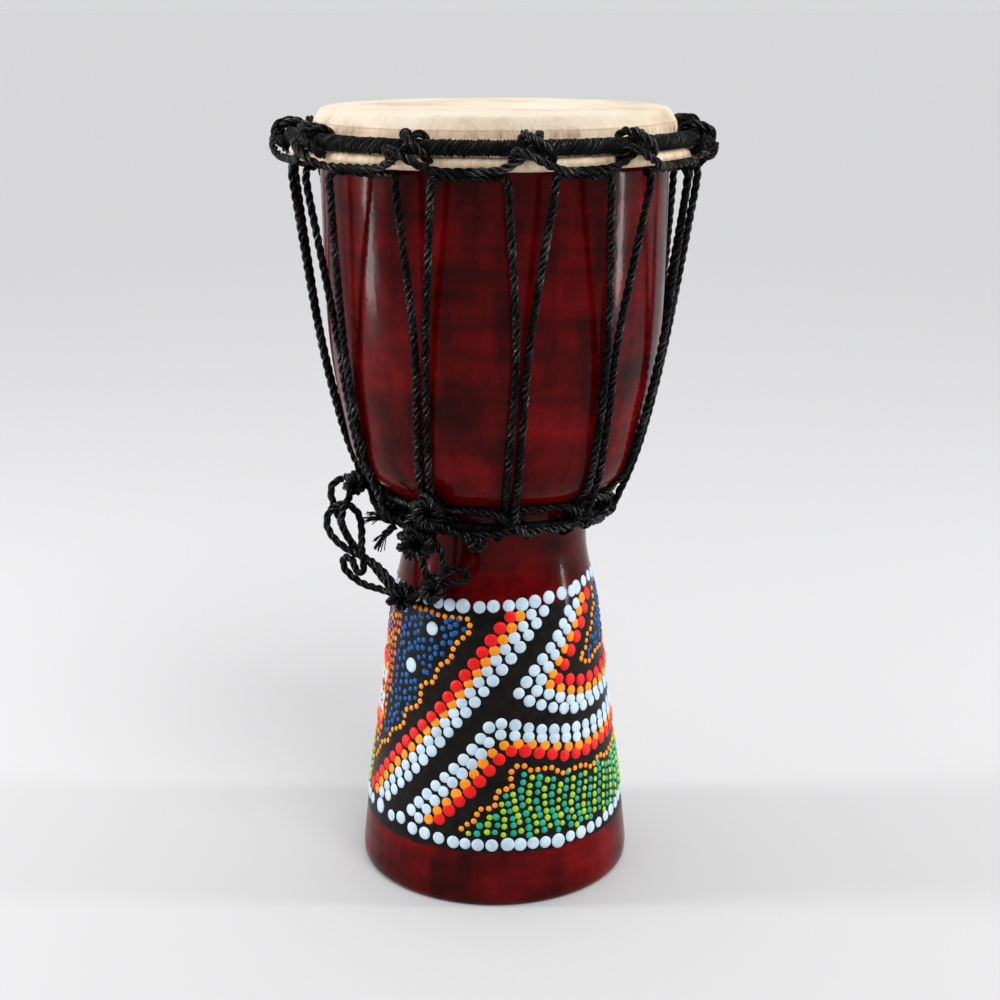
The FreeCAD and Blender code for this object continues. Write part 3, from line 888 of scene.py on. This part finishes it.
lap_top = corner((flesh_radius, flesh_height), lap_radius, 122, -215, 44)
skin_outline = [(0.0, skin_top), (0.030, skin_top), (0.060, skin_top), (0.075, skin_top)]
skin_outline += top_edge + bevel_and_crease + [(0.0934, 0.3858)]
skin_outline += lap_top + [(0.0934, 0.3840)] + inner_side
skin_outline += [(0.060, skin_top - skin_thickness), (0.0, skin_top - skin_thickness)]
skin = lathe("drumhead_goat_skin", skin_outline, 360, wrinkle)
hand_over(skin, "goat_skin", "drumhead_skin")

# %% Skin colour
hide, tree, surface = material("goat_hide")
space = own_space(tree)
cloud = noise(tree, space, 22.0, 6.0, 0.6)
pores = noise(tree, space, 900.0, 2.0)
cream = ramp(tree, cloud, [(0.30, (0.47, 0.35, 0.23)), (0.48, (0.60, 0.51, 0.385)),
                           (0.70, (0.67, 0.60, 0.49))])
hairs = noise(tree, stretched(tree, space, (1.0, 1.0, 0.18)), 420.0, 6.0)
gathers = noise(tree, stretched(tree, space, (1.0, 1.0, 0.35)), 75.0, 6.0)
brown = ramp(tree, math_node(tree, "ADD", math_node(tree, "MULTIPLY", hairs, 0.45),
                             math_node(tree, "MULTIPLY", gathers, 0.55)),
             [(0.34, (0.42, 0.26, 0.14)), (0.48, (0.70, 0.52, 0.35)), (0.64, (0.84, 0.70, 0.54))])
crease_height = 0.3937
brown_below, cream_above = 0.3915, 0.3962
height = add(tree, "ShaderNodeSeparateXYZ", Vector=space).outputs["Z"]
fade = add(tree, "ShaderNodeMapRange", Value=height)
fill(tree, fade, "From Min", brown_below)
fill(tree, fade, "From Max", cream_above)
hide_colour = mixed(tree, fade.outputs[0], brown, cream)
# Painted shade: a thin dark brown line is mixed into the hide along the crease height, standing in
# for the crease's shadow.
wander = math_node(tree, "MULTIPLY", math_node(tree, "SUBTRACT", cloud, 0.5), 0.0016)
from_crease = math_node(tree, "SUBTRACT", math_node(tree, "ADD", height, wander), crease_height)
millimetres = math_node(tree, "MULTIPLY", math_node(tree, "ABSOLUTE", from_crease), 1000.0)
painted_crease_shade = ramp(tree, millimetres,
                   [(0.15, grey(0.55)), (0.60, grey(0.0))])
hide_colour = mixed(tree, painted_crease_shade, hide_colour, (0.34, 0.21, 0.12))
tree.links.new(hide_colour, surface.inputs["Base Color"])
dry = ramp(tree, cloud, [(0.3, grey(0.50)), (0.7, grey(0.68))])
tree.links.new(dry, surface.inputs["Roughness"])
surface.inputs["Subsurface Weight"].default_value = 0.12
surface.inputs["Subsurface Radius"].default_value = (0.004, 0.002, 0.001)
creases = noise(tree, stretched(tree, space, (1.0, 1.0, 0.22)), 330.0, 5.0)
bumped(tree, surface, math_node(tree, "ADD", creases, math_node(tree, "MULTIPLY", pores, 0.3)),
       0.0011, 0.8)
skin.data.materials.append(hide)

# %% [markdown]
# ## Steel hoops
# Both hoops and the flesh hoop are plain rod, hidden in their yarn and skin. They keep their
# measured solids and get a drawn-rod finish: fine rings round the rod and a few rusty spots.

# %% Steel
steel, tree, surface = material("drawn_steel_rod")
space = own_space(tree)
drawn = noise(tree, stretched(tree, space, (1.0, 1.0, 8.0)), 260.0, 5.0)
spots = noise(tree, space, 130.0, 4.0)
bright = ramp(tree, drawn, [(0.3, grey(0.36)), (0.7, grey(0.56))])
rust = ramp(tree, spots, [(0.60, grey(0.0)), (0.72, grey(1.0))])
tree.links.new(mixed(tree, rust, bright, (0.20, 0.085, 0.035)), surface.inputs["Base Color"])
surface.inputs["Metallic"].default_value = 1.0
worn = ramp(tree, drawn, [(0.3, grey(0.28)), (0.8, grey(0.50))])
tree.links.new(worn, surface.inputs["Roughness"])
bumped(tree, surface, drawn, 0.0002)
for node in ("flesh_hoop", "crown_hoop", "waist_hoop"):
    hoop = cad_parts[node]
    hoop.data.materials.clear()
    hoop.data.materials.append(steel)

# %% [markdown]
# ## Dot paint
# Each dot is a blob of thick acrylic put down with the end of a stick, so it stands up from
# the surface and has a soft shoulder. Rows follow a line, fields are filled, and both are
# pressed onto the shell: a ray from outside finds the lacquer, and the dot stands on it.

# %% Paint colours
def dot_paint(name, dark, light):
    made, tree, surface = material(name)
    space = own_space(tree)
    patch = noise(tree, space, 150.0, 3.0)
    swirl = noise(tree, space, 900.0, 4.0)
    shade = math_node(tree, "ADD", math_node(tree, "MULTIPLY", patch, 0.7),
                      math_node(tree, "MULTIPLY", swirl, 0.3))
    tree.links.new(ramp(tree, shade, [(0.35, dark), (0.62, light)]), surface.inputs["Base Color"])
    tree.links.new(ramp(tree, swirl, [(0.3, grey(0.30)), (0.7, grey(0.50))]),
                   surface.inputs["Roughness"])
    surface.inputs["Specular IOR Level"].default_value = 0.22
    bumped(tree, surface, swirl, 0.0003, 0.9)
    return made


paints = {
    "white": dot_paint("sky_white_paint", (0.38, 0.49, 0.58), (0.54, 0.67, 0.77)),
    "red": dot_paint("scarlet_paint", (0.58, 0.003, 0.003), (0.78, 0.006, 0.005)),
    "orange": dot_paint("orange_paint", (0.72, 0.20, 0.004), (0.86, 0.30, 0.008)),
    "blue": dot_paint("blue_paint", (0.002, 0.050, 0.19), (0.004, 0.095, 0.31)),
    "teal": dot_paint("teal_paint", (0.003, 0.24, 0.15), (0.008, 0.40, 0.27)),
    "lime": dot_paint("lime_paint", (0.22, 0.42, 0.006), (0.38, 0.58, 0.012)),
    "coral": dot_paint("coral_paint", (0.46, 0.075, 0.03), (0.60, 0.13, 0.055)),
}

# %% The tree that sets dots
dot_tree, dot_in = growing_tree("paint_dots", [
    ("Surface", "Object"), ("Spacing", "Float"), ("Doming", "Float"), ("Unevenness", "Float"),
    ("Seed", "Int"), ("Material", "Material")])
rows = add(dot_tree, "GeometryNodeMeshToCurve", Mesh=dot_in["Geometry"]).outputs[0]
rows = add(dot_tree, "GeometryNodeResampleCurve", {"mode": "LENGTH"}, Curve=rows,
           Length=dot_in["Spacing"]).outputs[0]
rows = add(dot_tree, "GeometryNodeCurveToPoints", {"mode": "EVALUATED"}, Curve=rows).outputs[0]
joined_to = add(dot_tree, "GeometryNodeInputMeshVertexNeighbors").outputs["Vertex Count"]
alone = math_node(dot_tree, "LESS_THAN", joined_to, 0.5)
singles = add(dot_tree, "GeometryNodeMeshToPoints", Mesh=dot_in["Geometry"],
              Selection=alone).outputs[0]
points = dot_tree.nodes.new("GeometryNodeJoinGeometry")
for part in (rows, singles):
    dot_tree.links.new(part, points.inputs[0])
here = add(dot_tree, "GeometryNodeInputPosition").outputs[0]
level = add(dot_tree, "ShaderNodeSeparateXYZ", Vector=here).outputs["Z"]
flat = add(dot_tree, "ShaderNodeVectorMath", {"operation": "MULTIPLY"})
dot_tree.links.new(here, flat.inputs[0])
flat.inputs[1].default_value = (1.0, 1.0, 0.0)
outward = add(dot_tree, "ShaderNodeVectorMath", {"operation": "NORMALIZE"})
dot_tree.links.new(flat.outputs[0], outward.inputs[0])
away = add(dot_tree, "ShaderNodeVectorMath", {"operation": "SCALE"}, Scale=0.12)
dot_tree.links.new(outward.outputs[0], away.inputs[0])
source = add(dot_tree, "ShaderNodeVectorMath", {"operation": "ADD"})
dot_tree.links.new(away.outputs[0], source.inputs[0])
dot_tree.links.new(add(dot_tree, "ShaderNodeCombineXYZ", Z=level).outputs[0], source.inputs[1])
inward = add(dot_tree, "ShaderNodeVectorMath", {"operation": "SCALE"}, Scale=-1.0)
dot_tree.links.new(outward.outputs[0], inward.inputs[0])
wall = add(dot_tree, "GeometryNodeObjectInfo", Object=dot_in["Surface"]).outputs["Geometry"]
ray = add(dot_tree, "GeometryNodeRaycast", Target_Geometry=wall, Source_Position=source.outputs[0],
          Ray_Direction=inward.outputs[0], Ray_Length=0.2)
settled = add(dot_tree, "GeometryNodeSetPosition", Geometry=points.outputs[0],
              Position=ray.outputs["Hit Position"]).outputs[0]
facing = add(dot_tree, "FunctionNodeAlignRotationToVector", {"axis": "Z"},
             Vector=ray.outputs["Hit Normal"]).outputs[0]
blob = add(dot_tree, "GeometryNodeMeshUVSphere", Segments=14, Rings=8, Radius=1.0).outputs[0]
blob_height = add(dot_tree, "ShaderNodeCombineXYZ", X=1.0, Y=1.0, Z=dot_in["Doming"]).outputs[0]
blob = add(dot_tree, "GeometryNodeTransform", Geometry=blob, Scale=blob_height).outputs[0]
wide = add(dot_tree, "GeometryNodeInputNamedAttribute", {"data_type": "FLOAT"}, Name="dot_radius")
chance = add(dot_tree, "FunctionNodeRandomValue", {"data_type": "FLOAT"}, Min=-1.0, Max=1.0,
             Seed=dot_in["Seed"]).outputs[1]
vary = math_node(dot_tree, "ADD", 1.0,
                 math_node(dot_tree, "MULTIPLY", chance, dot_in["Unevenness"]))
size = math_node(dot_tree, "MULTIPLY", wide.outputs[0], vary)
dots = add(dot_tree, "GeometryNodeInstanceOnPoints", Points=settled, Instance=blob, Rotation=facing,
           Scale=size).outputs[0]
finish_tree(dot_tree, dot_in, dots)


def stem_radius(height):
    # The stem is very nearly a straight cone between its foot and its waist.
    return 0.0697 - 0.1346 * (height - 0.027)


def paint(name, colour, rows=(), singles=(), spacing=0.0074, doming=0.26, seed=1):
    # Rows are (dot radius, [(bearing, height), ...]); singles are (bearing, height, dot radius).
    places, edges, radii = [], [], []
    for dot_radius, row in rows:
        first = len(places)
        for bearing, height in row:
            places.append(polar(bearing, stem_radius(height), height))
            radii.append(dot_radius)
        edges += [(i, i + 1) for i in range(first, len(places) - 1)]
    for bearing, height, dot_radius in singles:
        places.append(polar(bearing, stem_radius(height), height))
        radii.append(dot_radius)
    mesh = bpy.data.meshes.new(name)
    mesh.from_pydata(places, edges, [])
    wide = mesh.attributes.new("dot_radius", "FLOAT", "POINT")
    wide.data.foreach_set("value", radii)
    piece = grow(name, mesh, dot_tree, {
        "Surface": shell, "Spacing": spacing, "Doming": doming, "Unevenness": 0.07,
        "Seed": seed, "Material": paints[colour]})
    hand_over(piece, "lacquered_shell")

# %% [markdown]
# ## The painted design
# The front is a diagonal stripe, a bent stripe under it, an arrow to the right, and fields of
# small dots between them. All of it is written down as lines of bearing and height. The back
# repeats the front half a turn round, where the two ends meet in the side fields.

# %% Rows of the design, as (bearing in degrees, height in metres)
def both_sides(rows):
    return rows + [(size, [(bearing + 180.0, height) for bearing, height in row])
                   for size, row in rows]


big, middle_size, white_size = 0.0034, 0.0028, 0.0031
red_rows = [
    (big, [(8.5, 0.1515), (2.5, 0.1456), (-11, 0.127), (-28.7, 0.101), (-48, 0.079),
           (-66.7, 0.054), (-73.7, 0.046)]),
    (big, [(-25, 0.0448), (-10, 0.0628), (3.1, 0.080), (9.1, 0.0835), (16.3, 0.0816),
           (29.6, 0.0779), (36.3, 0.0754), (50.9, 0.0753), (71.3, 0.0775), (90, 0.080),
           (104, 0.079)]),
    (big, [(64.6, 0.1541), (52.4, 0.1395), (42.4, 0.1285), (34.1, 0.1164), (42.1, 0.1144),
           (49.4, 0.1121), (64.6, 0.1114), (71.3, 0.1125), (90, 0.114), (104, 0.116)]),
]
orange_rows = [
    (middle_size, [(13.7, 0.1516), (-6, 0.1266), (-24.8, 0.101), (-42.9, 0.0784),
                   (-62.3, 0.0538), (-68.1, 0.0455)]),
    (middle_size, [(-30.3, 0.0434), (-15.8, 0.0613), (-2.5, 0.0805), (3.5, 0.0856),
                   (13, 0.0863), (27.5, 0.0829), (40.6, 0.079), (55, 0.0788), (68.1, 0.080),
                   (90, 0.0835), (104, 0.083)]),
    (middle_size, [(58.3, 0.1535), (46.4, 0.1392), (36, 0.127), (27.8, 0.115), (35.9, 0.111),
                   (47.5, 0.1066), (67.8, 0.1065), (90, 0.109), (104, 0.111)]),
]
white_rows = [
    (white_size, [(20.3, 0.1519), (-2.1, 0.1266), (-20.6, 0.1007), (-38.2, 0.0771), (-56.9, 0.0534),
                  (-62.7, 0.046)]),
    (white_size, [(28.1, 0.1527), (14.5, 0.1375), (5.5, 0.1271), (-8.2, 0.110), (-25, 0.0875),
                  (-42.2, 0.064), (-56.7, 0.0468)]),
    (white_size, [(-40, 0.0453), (-27.1, 0.0625), (-13.2, 0.0791), (-5.2, 0.0913), (-1.4, 0.0969),
                  (6.5, 0.0969), (20.6, 0.0925), (34.1, 0.0898), (47, 0.0883), (60.2, 0.0881),
                  (72.5, 0.090), (90, 0.0935), (104, 0.094)]),
    (white_size, [(-35.5, 0.0425), (-21.6, 0.0625), (-7.5, 0.0791), (-2.9, 0.0871), (2.9, 0.0913),
                  (10, 0.0903), (24.8, 0.0875), (44.6, 0.0835), (65.6, 0.0844), (90, 0.088),
                  (104, 0.0885)]),
    (white_size, [(44.5, 0.1498), (33.8, 0.137), (22.1, 0.125), (11.9, 0.1123), (18.3, 0.1069),
                  (31.8, 0.1016), (45.6, 0.0984), (59.4, 0.099), (72.5, 0.1006), (90, 0.103),
                  (104, 0.1045)]),
    (white_size, [(51.9, 0.152), (39.8, 0.138), (29.4, 0.125), (20.6, 0.1129), (28.8, 0.1096),
                  (43.1, 0.1031), (65, 0.1025), (90, 0.1055), (104, 0.107)]),
]

# %% Border dots round the top and bottom of the band
top_border = [
    (-33.4, 0.1563), (-25.9, 0.156), (-17.9, 0.1563), (-8.5, 0.1563), (-0.8, 0.1569),
    (7.8, 0.157), (15.3, 0.1573), (23.1, 0.158), (32.1, 0.1589), (41.5, 0.1594), (49.8, 0.159),
    (54.6, 0.1598), (64.0, 0.1608), (72.5, 0.1615),
]
bottom_border = [
    (-72.8, 0.0375), (-62.5, 0.0385), (-52.6, 0.0375), (-46, 0.039), (-38.6, 0.0358),
    (-31.9, 0.0354), (-24.9, 0.0346), (-18.1, 0.0339), (-12.8, 0.0338), (-7.3, 0.0336),
    (-1.3, 0.0336), (5.5, 0.034), (10.9, 0.0336), (16.6, 0.0336), (22.1, 0.0331),
    (28.3, 0.0324), (34.6, 0.033), (40.6, 0.0331), (46.6, 0.0335), (52.4, 0.0338),
    (58.3, 0.0346), (63.9, 0.0355), (69.8, 0.0365), (75.0, 0.0378),
]
hand = random.Random(7)


def carry_round(border, gap):
    # The front's own dots first, then the same spacing on round the back with a steady hand.
    last_bearing, last_height = border[-1]
    first_bearing, first_height = border[0]
    span = first_bearing + 360.0 - last_bearing
    count = round(span / gap)
    made = list(border)
    for i in range(1, count):
        part = i / count
        height = last_height + (first_height - last_height) * part
        made.append((last_bearing + span * part, height + hand.uniform(-0.0006, 0.0006)))
    return made


border_dots = []
large_ones = (-17.9, 54.6, -62.5, 28.3)
large_size = 0.0041
lone_white = [(-35.6, 0.1425), (-48.5, 0.1203)]
lone_size = 0.0039
for bearing, height in carry_round(top_border, 8.1) + carry_round(bottom_border, 5.8):
    size = large_size if bearing in large_ones else hand.uniform(0.0030, 0.0035)
    border_dots.append((bearing, height, size))
for half_turn in (0.0, 180.0):
    border_dots += [(bearing + half_turn, height, lone_size) for bearing, height in lone_white]
paint("dots_orange", "orange", rows=both_sides(orange_rows), spacing=0.0071, doming=0.24, seed=3)
paint("dots_red", "red", rows=both_sides(red_rows), spacing=0.0076, doming=0.28, seed=2)
paint("dots_white", "white", rows=both_sides(white_rows), singles=border_dots, spacing=0.0070,
      doming=0.22, seed=1)

# %% Outlines of the small-dot fields
blue_left = [
    (-50, 0.151), (-44.8, 0.151), (-40.4, 0.1513), (-30.8, 0.1498), (-14, 0.1501),
    (-13, 0.1444), (-15.3, 0.1415), (-19.3, 0.1386), (-22.2, 0.134), (-23, 0.1285),
    (-26.3, 0.1263), (-29.8, 0.1244), (-31.5, 0.119), (-31.9, 0.1154), (-38.1, 0.1134),
    (-40.3, 0.111), (-39.9, 0.104), (-41.3, 0.1006), (-49.8, 0.096), (-50.4, 0.088),
    (-53.8, 0.0848), (-60, 0.0816), (-62.3, 0.0748), (-68.8, 0.0713), (-71.5, 0.066),
    (-75, 0.0613),
]
blue_left_back = [(-66, 0.090), (-62, 0.130), (-56, 0.151)]
blue_right = [
    (73.8, 0.1544), (72.4, 0.1454), (67, 0.1441), (66.3, 0.1401), (64.6, 0.136),
    (61.4, 0.1353), (57.3, 0.1334), (57.3, 0.1288), (54.1, 0.1263), (50, 0.124),
    (52.5, 0.1219), (56, 0.1198), (60.4, 0.1198), (63.1, 0.1219), (67, 0.1231),
    (72.5, 0.1231), (90, 0.124), (103, 0.126),
]
green_edge = [
    (-14.6, 0.0415), (-12.3, 0.044), (-9.3, 0.0456), (-8.1, 0.0488), (-6.9, 0.0525),
    (-3.1, 0.0528), (0, 0.0538), (0.3, 0.0569), (0.9, 0.0615), (4.3, 0.0629), (7.8, 0.0634),
    (7.5, 0.0671), (6.8, 0.071), (9.9, 0.0746), (13.5, 0.0746), (16.3, 0.0719), (22.3, 0.0715),
    (26, 0.072), (28.8, 0.0704), (31.8, 0.0671), (38.6, 0.0678), (45.4, 0.068), (51.5, 0.0645),
    (57.1, 0.0685), (60.9, 0.0675), (64.1, 0.0654), (70, 0.0675), (82, 0.070), (94, 0.068),
    (100, 0.058), (98, 0.046),
]

# %% Fill the fields
def inside(bearing, height, outline):
    hits = 0
    for (b0, h0), (b1, h1) in zip(outline, outline[1:] + outline[:1]):
        if (h0 > height) != (h1 > height):
            if bearing < b0 + (b1 - b0) * (height - h0) / (h1 - h0):
                hits += 1
    return hits % 2 == 1


def clear_of(bearing, height, row, gap):
    degree = math.radians(1.0) * stem_radius(height)
    return all(math.hypot((bearing - b) * degree, height - h) > gap for b, h in row)


def field(outline, edge, column_gap, row_gap, shake, size, steady, skipped=0.0, sway=0.0):
    # Columns of dots, each started at its own height and shaken a little. Sway bends them.
    low_b, high_b = min(b for b, h in outline), max(b for b, h in outline)
    low_h, high_h = min(h for b, h in outline), max(h for b, h in outline)
    made = []
    bearing = low_b + skipped
    while bearing < high_b:
        height = low_h + steady.uniform(0, row_gap)
        while height < high_h:
            bend = sway * math.sin(170.0 * height + 0.07 * bearing)
            b = bearing + bend + steady.uniform(-shake, shake)
            h = height + steady.uniform(-shake, shake) * 0.0006
            if inside(b, h, outline) and clear_of(b, h, edge, 0.0030):
                made.append((b, h, size * steady.uniform(0.88, 1.12)))
            height += row_gap * steady.uniform(0.9, 1.1)
        bearing += column_gap
    return made


def repeated(dots):
    return dots + [(bearing + 180.0, height, size) for bearing, height, size in dots]


small, teal_size, lime_size = 0.00146, 0.00165, 0.00155
lone_gap = 0.0056
green_columns, green_shift = 7.0, 3.5
filler = random.Random(11)
outline_dots = []
for edge in (blue_left, blue_right, green_edge):
    outline_dots.append((small, edge))
blue_dots = field(blue_left + blue_left_back, blue_left, 3.9, 0.0042, 1.25, small, filler)
blue_dots = [d for d in blue_dots if clear_of(d[0], d[1], lone_white, lone_gap)]
blue_right_area = blue_right + [(106, 0.140), (104, 0.154)]
blue_dots += field(blue_right_area, blue_right, 3.9, 0.0042, 1.25, small, filler)
green_area = green_edge + [(96, 0.0385), (40, 0.0375), (-10, 0.0382)]
# The green field goes column by column, one teal and the next lime.
teal_dots = field(green_area, green_edge, green_columns, 0.0040, 0.45, teal_size, filler, sway=1.6)
lime_dots = field(green_area, green_edge, green_columns, 0.0040, 0.45, lime_size, filler,
                  green_shift, sway=1.6)
side_area = [(-57, 0.151), (-63, 0.130), (-67, 0.092), (-76, 0.066), (-84, 0.072), (-84, 0.151)]
side_dots = field(side_area, [(0.0, 0.0)], 3.6, 0.0040, 0.8, small, filler)
coral_dots, amber_dots = [], []
for dot in side_dots:
    (coral_dots if filler.random() < 0.7 else amber_dots).append(dot)
paint("dots_outline", "orange", rows=both_sides(outline_dots), singles=repeated(amber_dots),
      spacing=0.0040, doming=0.45, seed=5)
paint("dots_blue", "blue", singles=repeated(blue_dots), doming=0.45, seed=6)
paint("dots_teal", "teal", singles=repeated(teal_dots), doming=0.45, seed=7)
paint("dots_lime", "lime", singles=repeated(lime_dots), doming=0.45, seed=8)
paint("dots_coral", "coral", singles=repeated(coral_dots), doming=0.45, seed=9)

# %% [markdown]
# ## Floor and light
# A pale floor that runs on to a far horizon, and an open sky of the same brightness there, so
# the two meet without a line. A broad light from high in front gives the colours their body: it
# stands too high to be mirrored in the steep sides. Two tall narrow panels, left and right, are
# mirrored, and they draw the long glosses down the bowl.

# %% Floor
floor_mesh = bpy.data.meshes.new("floor")
floor_size = 400.0
floor_mesh.from_pydata([(-floor_size, -floor_size, 0), (floor_size, -floor_size, 0),
                        (floor_size, floor_size, 0), (-floor_size, floor_size, 0)], [],
                       [(0, 1, 2, 3)])
floor = place("floor", floor_mesh)
pale, tree, surface = material("pale_floor")
surface.inputs["Base Color"].default_value = (0.49, 0.49, 0.495, 1.0)
surface.inputs["Roughness"].default_value = 0.95
surface.inputs["Specular IOR Level"].default_value = 0.1
floor.data.materials.append(pale)
floor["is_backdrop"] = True

# %% Lights
middle_of_bowl = (0.0, 0.0, 0.28)


def aimed(lamp, place_at):
    lamp.location = place_at
    towards = Vector(middle_of_bowl) - Vector(place_at)
    lamp.rotation_euler = towards.to_track_quat("-Z", "Y").to_euler()


def soft_light(name, place_at, wide, tall, power):
    data = bpy.data.lights.new(name, "AREA")
    data.shape = "RECTANGLE"
    data.size = wide
    data.size_y = tall
    data.energy = power
    aimed(place(name, data), place_at)


soft_light("light_left", (-1.35, -0.05, 0.60), wide=0.20, tall=1.2, power=16.0)
soft_light("light_right", (1.35, -0.05, 0.60), wide=0.10, tall=1.2, power=11.0)
high_front = bpy.data.lights.new("light_high_front", "SUN")
high_front.energy = 1.55
high_front.angle = math.radians(35.0)
aimed(place("light_high_front", high_front), (0.9, -1.9, 2.8))

# %% Sky
dimmest = 0.16
overhead_share = 0.60
behind_share = 0.53
blue_lean = 1.01
world = bpy.data.worlds.new("pale_sky")
world.use_nodes = True
tree = world.node_tree
direction = add(tree, "ShaderNodeTexCoord").outputs["Generated"]
parts = add(tree, "ShaderNodeSeparateXYZ", Vector=direction)
overhead = add(tree, "ShaderNodeMapRange", {"interpolation_type": "SMOOTHSTEP"},
               Value=parts.outputs["Z"])
fill(tree, overhead, "From Min", -0.05)
fill(tree, overhead, "From Max", 0.75)
behind = add(tree, "ShaderNodeMapRange", {"interpolation_type": "SMOOTHSTEP"},
             Value=parts.outputs["Y"])
fill(tree, behind, "From Min", -0.9)
fill(tree, behind, "From Max", 0.6)
level = math_node(tree, "ADD", math_node(tree, "MULTIPLY", overhead.outputs[0], overhead_share),
                  math_node(tree, "MULTIPLY", behind.outputs[0], behind_share))
level = math_node(tree, "ADD", level, dimmest)
sky = add(tree, "ShaderNodeCombineXYZ", X=level, Y=level,
          Z=math_node(tree, "MULTIPLY", level, blue_lean))
tree.links.new(sky.outputs[0], tree.nodes["Background"].inputs["Color"])
scene.world = world
scene.view_settings.view_transform = "Standard"

# %% Print the sizes of the visual box
low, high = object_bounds()
print("visual box", list(low), list(high))
